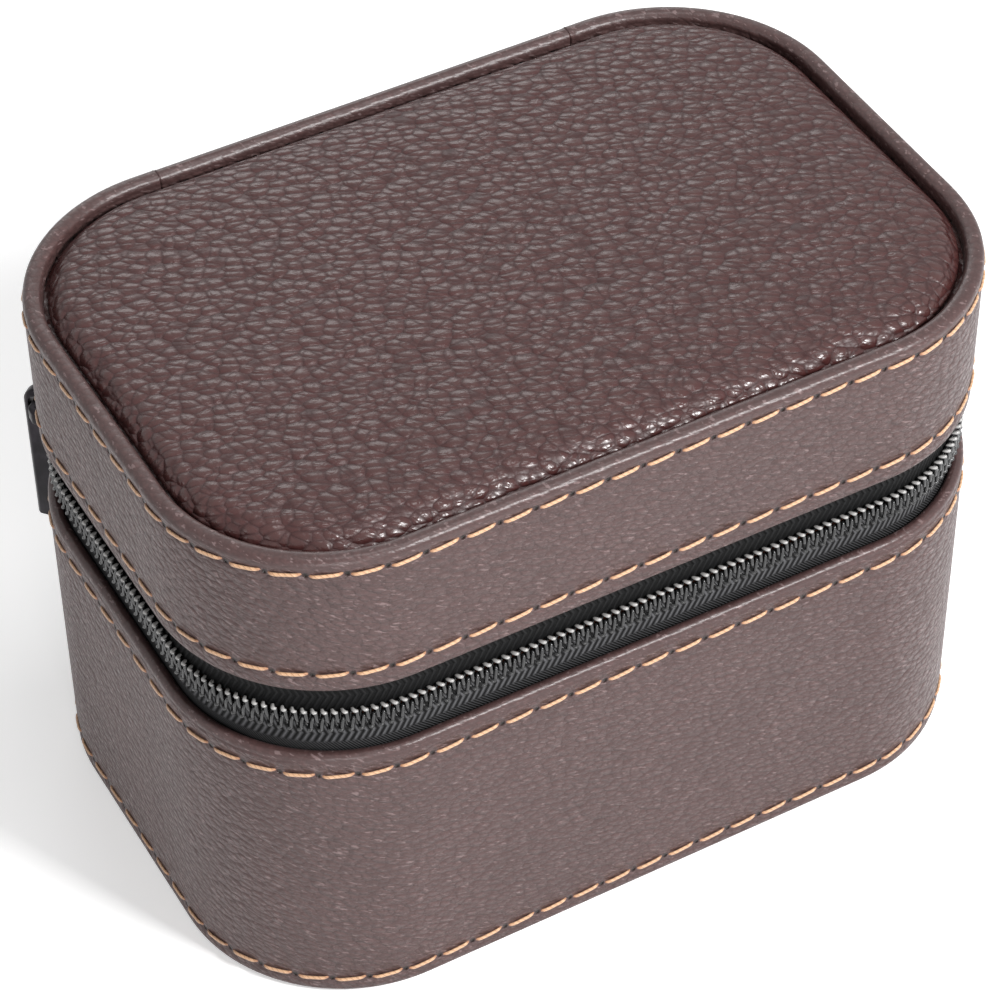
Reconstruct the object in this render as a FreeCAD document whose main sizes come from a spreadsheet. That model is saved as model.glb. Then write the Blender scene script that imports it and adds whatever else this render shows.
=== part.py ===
import FreeCAD, Part
import math
import os
import Sketcher

# Watch travel case: a hard-walled, leather-covered box with a zip round three sides.
# Frame: +Z up, long side along X, front at -Y, origin under the middle of the box on its rest plane.

V = FreeCAD.Vector
doc = FreeCAD.newDocument("watch_travel_case")
sheet = doc.addObject("Spreadsheet::Sheet", "Sheet")

SIZES = [
    # Whole case
    ("case_length", 118.0),
    ("case_width", 80.0),
    ("corner_radius", 24.3),
    ("base_edge_height", 47.2),
    ("lid_edge_height", 59.0),
    ("rim_height", 82.0),
    ("foot_gap", 0.3),
    ("glue_line", 0.1),
    ("cut_overrun", 2.0),
    # Leather bands and their turned hems
    ("skin", 0.9),
    ("hem", 1.8),
    ("hem_height", 8.0),
    ("hem_easing", 0.6),
    ("rim_hem", 2.5),
    ("rim_hem_height", 7.6),
    ("rim_easing", 0.75),
    ("seam_gap", 0.15),
    ("spine_width", 63.0),
    # Boards
    ("wall_board", 3.0),
    ("floor_board", 2.5),
    ("top_board", 2.5),
    ("top_board_rise", 2.4),
    ("board_setback", 1.0),
    # Linings
    ("ring_width", 6.0),
    ("suede", 0.8),
    ("suede_easing", 0.55),
    ("ring_meeting_gap", 0.6),
    ("floor_suede", 1.2),
    ("ceiling_pad", 2.6),
    ("ceiling_easing", 1.0),
    ("panel_fit", 0.2),
    ("hinge_suede", 0.5),
    # Padded top panel
    ("groove", 0.35),
    ("crown_rise", 0.9),
    ("panel_skin", 1.4),
    ("panel_foam", 2.0),
    # Zip
    ("tape", 0.6),
    ("tape_lap", 7.0),
    ("tape_edge_gap", 1.6),
    ("tooth_pitch", 1.333),
    ("tooth_width", 0.46),
    ("tooth_lap", 0.4),
    ("coil_depth", 1.3),
    ("coil_height", 2.6),
    ("coil_bead", 0.8),
    ("coil_parting", 1.2),
    ("zip_start", 2.0),
    ("stop_length", 2.4),
    ("gusset_length", 6.0),
    # Slider and puller
    ("slider_deg", 26.0),
    ("slider_park_deg", 48.0),
    ("slider_play_deg", 4.0),
    ("wing", 0.7),
    ("wing_fit", 0.15),
    ("slider_height", 7.0),
    ("flange", 0.7),
    ("flange_depth", 1.1),
    ("wedge_width", 1.4),
    ("wedge_length", 3.2),
    ("bridge_length", 8.0),
    ("bridge_opening", 5.4),
    ("bridge_clear", 1.9),
    ("bridge_strap", 1.0),
    ("bridge_height", 2.0),
    ("puller_width", 4.5),
    ("puller_thickness", 2.3),
    ("puller_length", 23.5),
    ("puller_hole", 2.6),
    ("puller_slot", 1.7),
    ("puller_easing", 0.5),
    # Watch pillow
    ("pillow_length", 76.0),
    ("pillow_width", 56.0),
    ("pillow_height", 42.0),
    ("pillow_cover", 1.2),
    ("pillow_wadding", 3.0),
    ("pillow_bevel", 13.0),
    ("pillow_fit", 0.3),
]
for row, (word, amount) in enumerate(SIZES, start=1):
    sheet.set("A%d" % row, word)
    sheet.set("B%d" % row, "%g" % amount)
    sheet.setAlias("B%d" % row, word)
doc.recompute()


def size(word):
    """A driving size, read from the sheet."""
    return float(getattr(sheet, word))


# Derived insets, measured inward from the outer face of the bands
INSETS = {
    "board_face": "Sheet.skin + Sheet.glue_line",
    "tape_outer": "Sheet.hem + Sheet.glue_line",
    "tape_inner": "Sheet.hem + Sheet.glue_line + Sheet.tape",
    "board_rebate": "Sheet.hem + Sheet.tape + 2 * Sheet.glue_line",
    "board_back": "Sheet.skin + Sheet.glue_line + Sheet.wall_board",
    "ring_face": "Sheet.skin + 2 * Sheet.glue_line + Sheet.wall_board",
    "suede_face": "Sheet.skin + 2 * Sheet.glue_line + Sheet.wall_board + Sheet.ring_width - Sheet.suede",
    "cavity": "Sheet.skin + 2 * Sheet.glue_line + Sheet.wall_board + Sheet.ring_width",
}
KNOWN = {}


def worked_out(expression):
    """The value of a sheet expression, for shapes that code sets."""
    if expression not in KNOWN:
        sheet.set("D1", "=" + expression.replace("Sheet.", ""))
        sheet.recompute()
        KNOWN[expression] = float(sheet.get("D1"))
    return KNOWN[expression]


INSET = {name: worked_out(text) for name, text in INSETS.items()}

# Heights worked out from the sheet
MID = "(Sheet.base_edge_height + Sheet.lid_edge_height) / 2"
FLOOR_BOARD_LOW = "Sheet.skin + Sheet.glue_line"
WALL_LOW = "Sheet.skin + 2 * Sheet.glue_line + Sheet.floor_board"
WALL_TOP = "Sheet.base_edge_height - Sheet.board_setback"
RING_TOP = MID + " - Sheet.ring_meeting_gap / 2"
LID_WALL_LOW = "Sheet.lid_edge_height + Sheet.board_setback"
TOP_BOARD_LOW = "Sheet.rim_height - Sheet.rim_hem_height + Sheet.top_board_rise"
LID_WALL_TOP = TOP_BOARD_LOW + " - Sheet.glue_line"
LID_RING_LOW = MID + " + Sheet.ring_meeting_gap / 2"
TOP_BOARD_TOP = TOP_BOARD_LOW + " + Sheet.top_board"


def bind(thing, path, expression):
    """Tie one property to the sheet."""
    thing.setExpression(path, expression)


def plane(body, role):
    """One of the body's own origin planes."""
    for feature in body.Origin.OriginFeatures:
        if feature.Role == role:
            return feature
    raise ValueError(role)


def new_body(label):
    body = doc.addObject("PartDesign::Body", label)
    body.Label = label
    return body


def new_sketch(body, role, offset):
    """A sketch on one of the body's planes, moved along the plane's normal by a sheet expression."""
    sketch = body.newObject("Sketcher::SketchObject", "Outline")
    sketch.AttachmentSupport = [(plane(body, role), "")]
    sketch.MapMode = "FlatFace"
    if offset:
        bind(sketch, "AttachmentOffset.Base.z", offset)
    return sketch


def rounded_outline(sketch, inset):
    """A rounded rectangle, this far inside the outer face of the case."""
    amount = worked_out(inset)
    half_x = size("case_length") / 2 - amount
    half_y = size("case_width") / 2 - amount
    radius = size("corner_radius") - amount
    corners = [(half_x, half_y, 0), (-half_x, half_y, 90), (-half_x, -half_y, 180), (half_x, -half_y, 270)]
    arcs = []
    for x, y, turn in corners:
        centre = V(x - math.copysign(radius, x), y - math.copysign(radius, y), 0)
        circle = Part.Circle(centre, V(0, 0, 1), radius)
        start = math.radians(turn)
        arcs.append(sketch.addGeometry(Part.ArcOfCircle(circle, start, start + math.pi / 2), False))
    lines = []
    for index in range(4):
        start = sketch.getPoint(arcs[index], 2)
        end = sketch.getPoint(arcs[(index + 1) % 4], 1)
        lines.append(sketch.addGeometry(Part.LineSegment(start, end), False))
    for index in range(4):
        following = arcs[(index + 1) % 4]
        sketch.addConstraint(Sketcher.Constraint("Tangent", arcs[index], 2, lines[index], 1))
        sketch.addConstraint(Sketcher.Constraint("Tangent", lines[index], 2, following, 1))
    sketch.addConstraint(Sketcher.Constraint("Horizontal", lines[0]))
    sketch.addConstraint(Sketcher.Constraint("Vertical", lines[1]))
    sketch.addConstraint(Sketcher.Constraint("Horizontal", lines[2]))
    sketch.addConstraint(Sketcher.Constraint("Vertical", lines[3]))
    for index in range(1, 4):
        sketch.addConstraint(Sketcher.Constraint("Equal", arcs[0], arcs[index]))
    sketch.addConstraint(Sketcher.Constraint("Symmetric", arcs[0], 3, arcs[2], 3, -1, 1))
    named = [
        (Sketcher.Constraint("Radius", arcs[0], radius), "Sheet.corner_radius - (%s)" % inset),
        (
            Sketcher.Constraint("DistanceX", arcs[1], 3, arcs[0], 3, 2 * (half_x - radius)),
            "Sheet.case_length - 2 * Sheet.corner_radius",
        ),
        (
            Sketcher.Constraint("DistanceY", arcs[3], 3, arcs[0], 3, 2 * (half_y - radius)),
            "Sheet.case_width - 2 * Sheet.corner_radius",
        ),
    ]
    for constraint, expression in named:
        index = sketch.addConstraint(constraint)
        bind(sketch, "Constraints[%d]" % index, expression)


def rectangle(sketch, left, right, low, high):
    """A rectangle in a sketch, each side at a sheet expression."""
    x0, x1, y0, y1 = [worked_out(text) for text in (left, right, low, high)]
    points = [V(x0, y0, 0), V(x1, y0, 0), V(x1, y1, 0), V(x0, y1, 0)]
    lines = []
    for index in range(4):
        lines.append(sketch.addGeometry(Part.LineSegment(points[index], points[(index + 1) % 4]), False))
    for index in range(4):
        sketch.addConstraint(Sketcher.Constraint("Coincident", lines[index], 2, lines[(index + 1) % 4], 1))
    for index in (0, 2):
        sketch.addConstraint(Sketcher.Constraint("Horizontal", lines[index]))
        sketch.addConstraint(Sketcher.Constraint("Vertical", lines[index + 1]))
    sides = [("DistanceX", 0, left, x0), ("DistanceX", 2, right, x1)]
    sides += [("DistanceY", 0, low, y0), ("DistanceY", 2, high, y1)]
    for kind, corner, expression, amount in sides:
        index = sketch.addConstraint(Sketcher.Constraint(kind, -1, 1, lines[corner], 1, amount))
        bind(sketch, "Constraints[%d]" % index, expression)


def pad(body, sketch, length, symmetric=False):
    feature = body.newObject("PartDesign::Pad", "Pad")
    feature.Profile = sketch
    bind(feature, "Length", length)
    feature.Midplane = symmetric
    sketch.Visibility = False
    doc.recompute()
    return feature


def pocket(body, sketch, length, symmetric=False):
    """Cut downwards from the sketch, or both ways, and make sure that something was cut."""
    before = body.Shape.Volume
    feature = body.newObject("PartDesign::Pocket", "Pocket")
    feature.Profile = sketch
    bind(feature, "Length", length)
    feature.Midplane = symmetric
    doc.recompute()
    if body.Shape.Volume >= before:
        raise ValueError("nothing cut in " + body.Label)
    return feature


def ring(body, outer, inner, low, high):
    """Pad a closed ring between two rounded outlines."""
    sketch = new_sketch(body, "XY_Plane", low)
    rounded_outline(sketch, outer)
    rounded_outline(sketch, inner)
    pad(body, sketch, "(%s) - (%s)" % (high, low))


def plate(body, inset, low, high):
    """Pad a rounded plate."""
    sketch = new_sketch(body, "XY_Plane", low)
    rounded_outline(sketch, inset)
    pad(body, sketch, "(%s) - (%s)" % (high, low))


def rebate(body, outer, inner, low, high):
    """Cut a ring away between two heights."""
    sketch = new_sketch(body, "XY_Plane", high)
    rounded_outline(sketch, outer)
    rounded_outline(sketch, inner)
    pocket(body, sketch, "(%s) - (%s)" % (high, low))


def ease_loops(body, kind, amount_word, picks):
    """Fillet or chamfer whole loops, each picked by its height and its inset from the outer face."""
    tip = body.Tip
    near = size("glue_line") / 4
    names = []
    for number, edge in enumerate(tip.Shape.Edges, start=1):
        box = edge.BoundBox
        if box.ZLength > near:
            continue
        for inset, height in picks:
            amount = worked_out(inset)
            level = worked_out(height)
            middle = edge.valueAt((edge.FirstParameter + edge.LastParameter) / 2)
            if abs(box.ZMin - level) < near and abs(depth(middle) - amount) < near:
                names.append("Edge%d" % number)
    feature = body.newObject("PartDesign::" + kind, kind)
    feature.Base = (tip, names)
    bind(feature, "Radius" if kind == "Fillet" else "Size", amount_word)
    doc.recompute()


def depth(point):
    """How far a point lies inside the outer face of the case."""
    half_x = size("case_length") / 2 - size("corner_radius")
    half_y = size("case_width") / 2 - size("corner_radius")
    over_x = max(abs(point.x) - half_x, 0)
    over_y = max(abs(point.y) - half_y, 0)
    return size("corner_radius") - math.hypot(over_x, over_y)


def spine_cut(body, low, high, extra, through):
    """Open the back wall for the leather spine, or for what runs beside it."""
    half = "(Sheet.spine_width / 2 + %s)" % extra
    sketch = new_sketch(body, "XY_Plane", "(%s) + Sheet.cut_overrun" % high)
    back = "Sheet.case_width / 2"
    rectangle(sketch, "-" + half, half, "%s - (%s)" % (back, through), back + " + Sheet.cut_overrun")
    pocket(body, sketch, "(%s) - (%s) + 2 * Sheet.cut_overrun" % (high, low))


# Base: boards, leather and lining

base_floor_board = new_body("base_floor_board")
plate(base_floor_board, INSETS["tape_outer"], FLOOR_BOARD_LOW, FLOOR_BOARD_LOW + " + Sheet.floor_board")

base_bottom_leather = new_body("base_bottom_leather")
plate(base_bottom_leather, INSETS["tape_outer"], "0 * Sheet.skin", "Sheet.skin")

base_wall_board = new_body("base_wall_board")
HEM_CLEAR = "Sheet.hem_height + 2 * Sheet.glue_line"
ring(base_wall_board, INSETS["board_face"], INSETS["board_back"], WALL_LOW, WALL_TOP)
rebate(base_wall_board, "0 * Sheet.skin", INSETS["tape_outer"], WALL_LOW + " - Sheet.cut_overrun", HEM_CLEAR)
rebate(
    base_wall_board,
    "0 * Sheet.skin",
    INSETS["board_rebate"],
    "Sheet.base_edge_height - " + HEM_CLEAR.replace(" + 2 *", " - 2 *"),
    WALL_TOP + " + Sheet.cut_overrun",
)

base_band_leather = new_body("base_band_leather")
ring(base_band_leather, "0 * Sheet.skin", "Sheet.hem", "Sheet.foot_gap", "Sheet.base_edge_height")
rebate(
    base_band_leather,
    "Sheet.skin",
    "Sheet.hem + Sheet.cut_overrun",
    "Sheet.hem_height",
    "Sheet.base_edge_height - Sheet.hem_height",
)
HEM_EDGES = [("0 * Sheet.skin", "Sheet.base_edge_height"), ("Sheet.hem", "Sheet.base_edge_height")]
HEM_EDGES += [("0 * Sheet.skin", "Sheet.foot_gap"), ("Sheet.hem", "Sheet.foot_gap")]
ease_loops(base_band_leather, "Chamfer", "Sheet.hem_easing", HEM_EDGES)
spine_cut(base_band_leather, "Sheet.foot_gap", "Sheet.base_edge_height", "Sheet.seam_gap", "2 * Sheet.hem")

FLOOR_TOP = WALL_LOW + " + Sheet.floor_suede"
base_floor_lining = new_body("base_floor_lining")
plate(base_floor_lining, INSETS["ring_face"], WALL_LOW, FLOOR_TOP)

RING_LOW = FLOOR_TOP + " + Sheet.glue_line"
base_wall_foam = new_body("base_wall_foam")
ring(
    base_wall_foam,
    INSETS["ring_face"],
    INSETS["suede_face"] + " - Sheet.glue_line",
    RING_LOW,
    RING_TOP + " - Sheet.suede - Sheet.glue_line",
)

base_wall_lining = new_body("base_wall_lining")
ring(base_wall_lining, INSETS["ring_face"], INSETS["cavity"], RING_LOW, RING_TOP)
rebate(
    base_wall_lining,
    "0 * Sheet.skin",
    INSETS["suede_face"],
    RING_LOW + " - Sheet.cut_overrun",
    RING_TOP + " - Sheet.suede",
)
ease_loops(
    base_wall_lining,
    "Chamfer",
    "Sheet.suede_easing",
    [(INSETS["ring_face"], RING_TOP), (INSETS["cavity"], RING_TOP)],
)

# Lid: boards, leather and lining

lid_wall_board = new_body("lid_wall_board")
ring(lid_wall_board, INSETS["board_face"], INSETS["board_back"], LID_WALL_LOW, LID_WALL_TOP)
rebate(
    lid_wall_board,
    "0 * Sheet.skin",
    INSETS["board_rebate"],
    LID_WALL_LOW + " - Sheet.cut_overrun",
    "Sheet.lid_edge_height + " + HEM_CLEAR,
)
rebate(
    lid_wall_board,
    "0 * Sheet.skin",
    "Sheet.rim_hem + Sheet.glue_line",
    "Sheet.rim_height - Sheet.rim_hem_height - 2 * Sheet.glue_line",
    LID_WALL_TOP + " + Sheet.cut_overrun",
)

lid_top_board = new_body("lid_top_board")
plate(lid_top_board, "Sheet.rim_hem + Sheet.glue_line", TOP_BOARD_LOW, TOP_BOARD_TOP)

lid_band_leather = new_body("lid_band_leather")
ring(lid_band_leather, "0 * Sheet.skin", "Sheet.rim_hem", "Sheet.lid_edge_height", "Sheet.rim_height")
rebate(
    lid_band_leather,
    "Sheet.hem",
    "Sheet.rim_hem + Sheet.cut_overrun",
    "Sheet.lid_edge_height - Sheet.cut_overrun",
    "Sheet.lid_edge_height + Sheet.hem_height",
)
rebate(
    lid_band_leather,
    "Sheet.skin",
    "Sheet.rim_hem + Sheet.cut_overrun",
    "Sheet.lid_edge_height + Sheet.hem_height",
    "Sheet.rim_height - Sheet.rim_hem_height",
)
ease_loops(
    lid_band_leather,
    "Chamfer",
    "Sheet.hem_easing",
    [("0 * Sheet.skin", "Sheet.lid_edge_height"), ("Sheet.hem", "Sheet.lid_edge_height")],
)
ease_loops(
    lid_band_leather,
    "Chamfer",
    "Sheet.rim_easing",
    [("0 * Sheet.skin", "Sheet.rim_height"), ("Sheet.rim_hem", "Sheet.rim_height")],
)
spine_cut(lid_band_leather, "Sheet.lid_edge_height", "Sheet.rim_height", "Sheet.seam_gap", "2 * Sheet.rim_hem")

CEILING_LOW = LID_WALL_TOP + " - Sheet.ceiling_pad"
lid_ceiling_lining = new_body("lid_ceiling_lining")
plate(lid_ceiling_lining, INSETS["cavity"] + " + Sheet.panel_fit", CEILING_LOW, LID_WALL_TOP)
ease_loops(
    lid_ceiling_lining,
    "Chamfer",
    "Sheet.ceiling_easing",
    [(INSETS["cavity"] + " + Sheet.panel_fit", CEILING_LOW)],
)

lid_wall_foam = new_body("lid_wall_foam")
ring(
    lid_wall_foam,
    INSETS["ring_face"],
    INSETS["suede_face"] + " - Sheet.glue_line",
    LID_RING_LOW + " + Sheet.suede + Sheet.glue_line",
    LID_WALL_TOP,
)

lid_wall_lining = new_body("lid_wall_lining")
ring(lid_wall_lining, INSETS["ring_face"], INSETS["cavity"], LID_RING_LOW, LID_WALL_TOP)
rebate(
    lid_wall_lining,
    "0 * Sheet.skin",
    INSETS["suede_face"],
    LID_RING_LOW + " + Sheet.suede",
    LID_WALL_TOP + " + Sheet.cut_overrun",
)
ease_loops(
    lid_wall_lining,
    "Chamfer",
    "Sheet.suede_easing",
    [(INSETS["ring_face"], LID_RING_LOW), (INSETS["cavity"], LID_RING_LOW)],
)

# Leather spine: one piece from the lid's rim to the foot, over the hinge
SPINE_BACK = "Sheet.case_width / 2"
hinge_leather = new_body("hinge_leather")
sketch = new_sketch(hinge_leather, "YZ_Plane", "")
rectangle(sketch, SPINE_BACK + " - Sheet.rim_hem", SPINE_BACK, "Sheet.foot_gap", "Sheet.rim_height")
pad(hinge_leather, sketch, "Sheet.spine_width", symmetric=True)
sketch = new_sketch(hinge_leather, "YZ_Plane", "")
rectangle(
    sketch,
    SPINE_BACK + " - Sheet.rim_hem - Sheet.cut_overrun",
    SPINE_BACK + " - Sheet.skin",
    "Sheet.hem_height",
    "Sheet.rim_height - Sheet.rim_hem_height",
)
pocket(hinge_leather, sketch, "Sheet.spine_width + 2 * Sheet.cut_overrun", symmetric=True)
sketch = new_sketch(hinge_leather, "YZ_Plane", "")
rectangle(
    sketch,
    SPINE_BACK + " - Sheet.rim_hem - Sheet.cut_overrun",
    SPINE_BACK + " - Sheet.hem",
    "Sheet.foot_gap - Sheet.cut_overrun",
    "Sheet.hem_height + Sheet.cut_overrun",
)
pocket(hinge_leather, sketch, "Sheet.spine_width + 2 * Sheet.cut_overrun", symmetric=True)
ease_loops(
    hinge_leather,
    "Chamfer",
    "Sheet.rim_easing",
    [("0 * Sheet.skin", "Sheet.rim_height"), ("Sheet.rim_hem", "Sheet.rim_height")],
)
ease_loops(
    hinge_leather,
    "Chamfer",
    "Sheet.hem_easing",
    [("0 * Sheet.skin", "Sheet.foot_gap"), ("Sheet.hem", "Sheet.foot_gap")],
)

# Suede strip behind the spine, across the gap between base and lid
hinge_lining = new_body("hinge_lining")
sketch = new_sketch(hinge_lining, "YZ_Plane", "")
STRIP_FACE = SPINE_BACK + " - Sheet.skin - Sheet.glue_line"
rectangle(
    sketch,
    STRIP_FACE + " - Sheet.hinge_suede",
    STRIP_FACE,
    WALL_TOP + " + Sheet.glue_line",
    LID_WALL_LOW + " - Sheet.glue_line",
)
pad(hinge_lining, sketch, "Sheet.spine_width - 2 * Sheet.seam_gap", symmetric=True)


def set_shape(label, shape):
    """A piece whose form is worked out in code from the sheet's sizes."""
    feature = doc.addObject("Part::Feature", label)
    feature.Label = label
    feature.Shape = shape
    return feature


def rounded_wire(half_x, half_y, radius, height):
    """A rounded rectangle as a wire of four lines and four quarter arcs."""
    edges = []
    diagonal = radius * (1 - math.sqrt(0.5))
    ends = []
    for sx, sy in ((1, 1), (-1, 1), (-1, -1), (1, -1)):
        along_y = V(sx * half_x, sy * (half_y - radius), height)
        along_x = V(sx * (half_x - radius), sy * half_y, height)
        middle = V(sx * (half_x - diagonal), sy * (half_y - diagonal), height)
        first, last = (along_y, along_x) if sx * sy > 0 else (along_x, along_y)
        ends.append((first, middle, last))
    for index in range(4):
        first, middle, last = ends[index]
        edges.append(Part.Arc(first, middle, last).toShape())
        edges.append(Part.LineSegment(last, ends[(index + 1) % 4][0]).toShape())
    return Part.Wire(edges)


HALF_X = size("case_length") / 2
HALF_Y = size("case_width") / 2
RADIUS = size("corner_radius")

# Padded top panel: foam on the top board under a crowned leather skin
PANEL_INSET = size("rim_hem") + size("groove")
PANEL_LOW = worked_out(TOP_BOARD_TOP) + size("glue_line")
PANEL_TOP = size("rim_height") + size("crown_rise")
# Each section: share of the rise, and drawn-in distance as a share of the corner radius
PANEL_SECTION_SHARES = [(0.0, 0.015), (0.3, 0.0), (0.62, 0.03), (0.86, 0.12), (1.0, 0.5)]
panel_wires = []
for rise_share, draw_share in PANEL_SECTION_SHARES:
    drawn = PANEL_INSET + draw_share * RADIUS
    section_radius = RADIUS - PANEL_INSET - draw_share * RADIUS / 2
    level = PANEL_LOW + rise_share * (PANEL_TOP - PANEL_LOW)
    panel_wires.append(rounded_wire(HALF_X - drawn, HALF_Y - drawn, section_radius, level))
panel = Part.makeLoft(panel_wires, True, True)


def foam_plate(inset, height):
    """A flat plate of foam on the top board."""
    outline = rounded_wire(HALF_X - inset, HALF_Y - inset, RADIUS - inset, PANEL_LOW)
    return Part.Face(outline).extrude(V(0, 0, height))


FOAM_INSET = PANEL_INSET + size("panel_skin") + size("glue_line")
set_shape("lid_top_foam", foam_plate(FOAM_INSET, size("panel_foam")))
hollow = foam_plate(FOAM_INSET - size("glue_line"), size("panel_foam") + size("glue_line"))
set_shape("lid_top_leather", panel.cut(hollow))

# Zip: tapes, coils, end stops and gussets; the upper tape's stretch at the slider's corner is apart
ZIP_MID = worked_out(MID)
CORNER_X = HALF_X - RADIUS
CORNER_Y = HALF_Y - RADIUS
ZIP_START_X = size("spine_width") / 2 + size("zip_start")


def band_solid(inset, thickness, low, high, start_x):
    """A strip that follows the wall from one side of the spine round the front to the other."""
    outer = rounded_wire(HALF_X - inset, HALF_Y - inset, RADIUS - inset, low)
    deep = inset + thickness
    inner = rounded_wire(HALF_X - deep, HALF_Y - deep, RADIUS - deep, low)
    solid = Part.makeFace([outer, inner], "Part::FaceMakerBullseye").extrude(V(0, 0, high - low))
    over = size("cut_overrun")
    reach = size("case_width") / 2 - CORNER_Y + over
    opening = Part.makeBox(2 * start_x, reach, high - low + 2 * over, V(-start_x, CORNER_Y, low - over))
    return solid.cut(opening)


set_shape(
    "zip_tape_lower",
    band_solid(
        INSET["tape_outer"],
        size("tape"),
        size("base_edge_height") - size("tape_lap"),
        ZIP_MID - size("tape_edge_gap") / 2,
        ZIP_START_X,
    ),
)


def place_on_wall(distance):
    """Point and outward direction on the outer face, measured along the zip from its left end."""
    straight_back = CORNER_X - ZIP_START_X
    quarter = math.pi / 2 * RADIUS
    stretches = [
        ("line", V(-ZIP_START_X, HALF_Y, 0), V(-1, 0, 0), straight_back),
        ("arc", V(-CORNER_X, CORNER_Y, 0), 90, quarter),
        ("line", V(-HALF_X, CORNER_Y, 0), V(0, -1, 0), 2 * CORNER_Y),
        ("arc", V(-CORNER_X, -CORNER_Y, 0), 180, quarter),
        ("line", V(-CORNER_X, -HALF_Y, 0), V(1, 0, 0), 2 * CORNER_X),
        ("arc", V(CORNER_X, -CORNER_Y, 0), 270, quarter),
        ("line", V(HALF_X, -CORNER_Y, 0), V(0, 1, 0), 2 * CORNER_Y),
        ("arc", V(CORNER_X, CORNER_Y, 0), 0, quarter),
        ("line", V(CORNER_X, HALF_Y, 0), V(-1, 0, 0), straight_back),
    ]
    for kind, point, way, length in stretches:
        if distance <= length:
            break
        distance -= length
    if kind == "line":
        return point + way * distance, V(way.y, -way.x, 0)
    angle = math.radians(way) + distance / RADIUS
    outward = V(math.cos(angle), math.sin(angle), 0)
    return point + outward * RADIUS, outward


QUARTER = math.pi / 2 * RADIUS
ZIP_LENGTH = 2 * (CORNER_X - ZIP_START_X) + 4 * QUARTER + 4 * CORNER_Y + 2 * CORNER_X
CORNER_START = CORNER_X - ZIP_START_X
CORNER_END = CORNER_START + QUARTER


def coil_gaps(side, low):
    """What is cut between the teeth of one coil; the other side's teeth are half a pitch on."""
    pitch = size("tooth_pitch")
    shift_share = 0.25 if side < 0 else 0.75
    wide = pitch - size("tooth_width")
    over = size("cut_overrun")
    deep = size("coil_depth") + size("tape")
    tall = size("coil_height") / 2 - size("coil_bead") + size("tooth_lap")
    gaps = []
    for number in range(int(ZIP_LENGTH / pitch)):
        point, outward = place_on_wall((number + shift_share) * pitch + pitch / 2)
        start = 0 if side < 0 else -tall - over
        box = Part.makeBox(wide, deep, tall + over, V(-wide / 2, -INSET["tape_outer"] - size("tape") / 2, start))
        box.rotate(V(0, 0, 0), V(0, 0, 1), math.degrees(math.atan2(outward.y, outward.x)) - 90)
        box.translate(V(point.x, point.y, low))
        gaps.append(box)
    return gaps


def wedge_sector(first_deg, last_deg, low, high):
    """A sector at the back left corner, used to part what the slider passes from the rest."""
    reach = RADIUS + size("cut_overrun")
    sector = Part.makeCylinder(
        reach, high - low, V(-CORNER_X, CORNER_Y, low), V(0, 0, 1), last_deg - first_deg
    )
    sector.rotate(V(-CORNER_X, CORNER_Y, 0), V(0, 0, 1), first_deg)
    return sector


upper_tape = band_solid(
    INSET["tape_outer"],
    size("tape"),
    ZIP_MID + size("tape_edge_gap") / 2,
    size("lid_edge_height") + size("tape_lap"),
    ZIP_START_X,
)
slider_corner = wedge_sector(90, 180, ZIP_MID, size("rim_height"))
set_shape("zip_tape_upper", upper_tape.cut(slider_corner))
set_shape("zip_tape_upper_corner", upper_tape.common(slider_corner))

PARK = 180 - size("slider_park_deg")
COIL_END = PARK - size("slider_deg") / 2 - size("slider_play_deg")


def coil(side):
    """A coil's outer bead with its teeth: the long run, and the stretch at the slider's corner.

    Past the middle of the slider the two coils of that stretch stand apart, clear of its wedge.
    """
    half = size("coil_height") / 2
    bead = size("coil_bead")
    inset = INSET["tape_outer"] - size("coil_depth")
    start = ZIP_START_X + size("stop_length")
    tall = half - bead + size("tooth_lap")
    low = ZIP_MID - half if side < 0 else ZIP_MID + half - bead - tall
    comb = band_solid(inset, size("coil_depth"), low, low + bead + tall, start)
    comb = comb.cut(coil_gaps(side, low + bead if side < 0 else low + tall))
    over = size("cut_overrun")
    high = low + bead + tall + over
    closed = comb.common(wedge_sector(PARK, 180, low - over, high))
    parted = comb.common(wedge_sector(COIL_END, PARK, low - over, high))
    parted.translate(V(0, 0, side * size("coil_parting")))
    run = comb.cut(wedge_sector(90, 180, low - over, high))
    return run, Part.makeCompound([closed, parted])


for side, word in ((-1, "lower"), (1, "upper")):
    run, corner = coil(side)
    set_shape("zip_coil_" + word, run)
    set_shape("zip_coil_%s_corner" % word, corner)

# End stops on the lower tape: one behind the parked slider, one beside the spine on the right
stops = []
wide = size("stop_length") - size("tooth_width")
tall = size("coil_height") / 2
stop_back = HALF_Y - INSET["tape_outer"]
stops.append(Part.makeBox(wide, size("coil_depth"), tall, V(ZIP_START_X, stop_back, ZIP_MID - tall)))
left_stop = Part.makeBox(wide, size("coil_depth"), tall, V(-CORNER_X - wide, stop_back, ZIP_MID - tall))
left_stop.translate(V(0, 0, -size("coil_parting")))
left_stop.rotate(V(-CORNER_X, CORNER_Y, 0), V(0, 0, 1), COIL_END - 90 - math.degrees(size("stop_length") / RADIUS))
stops.append(left_stop)
set_shape("zip_end_stops", Part.makeCompound(stops))

# Black tape gussets that bridge base and lid on both sides of the hinge
for way, word in ((-1, "left"), (1, "right")):
    wide = size("gusset_length")
    inner = size("spine_width") / 2 - wide
    left = inner if way > 0 else -inner - wide
    low = worked_out(WALL_TOP) + size("glue_line")
    high = worked_out(LID_WALL_LOW) - size("glue_line")
    back = HALF_Y - size("skin") - 2 * size("glue_line") - size("hinge_suede") - size("tape")
    set_shape("zip_gusset_" + word, Part.makeBox(wide, size("tape"), high - low, V(left, back, low)))

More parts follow.
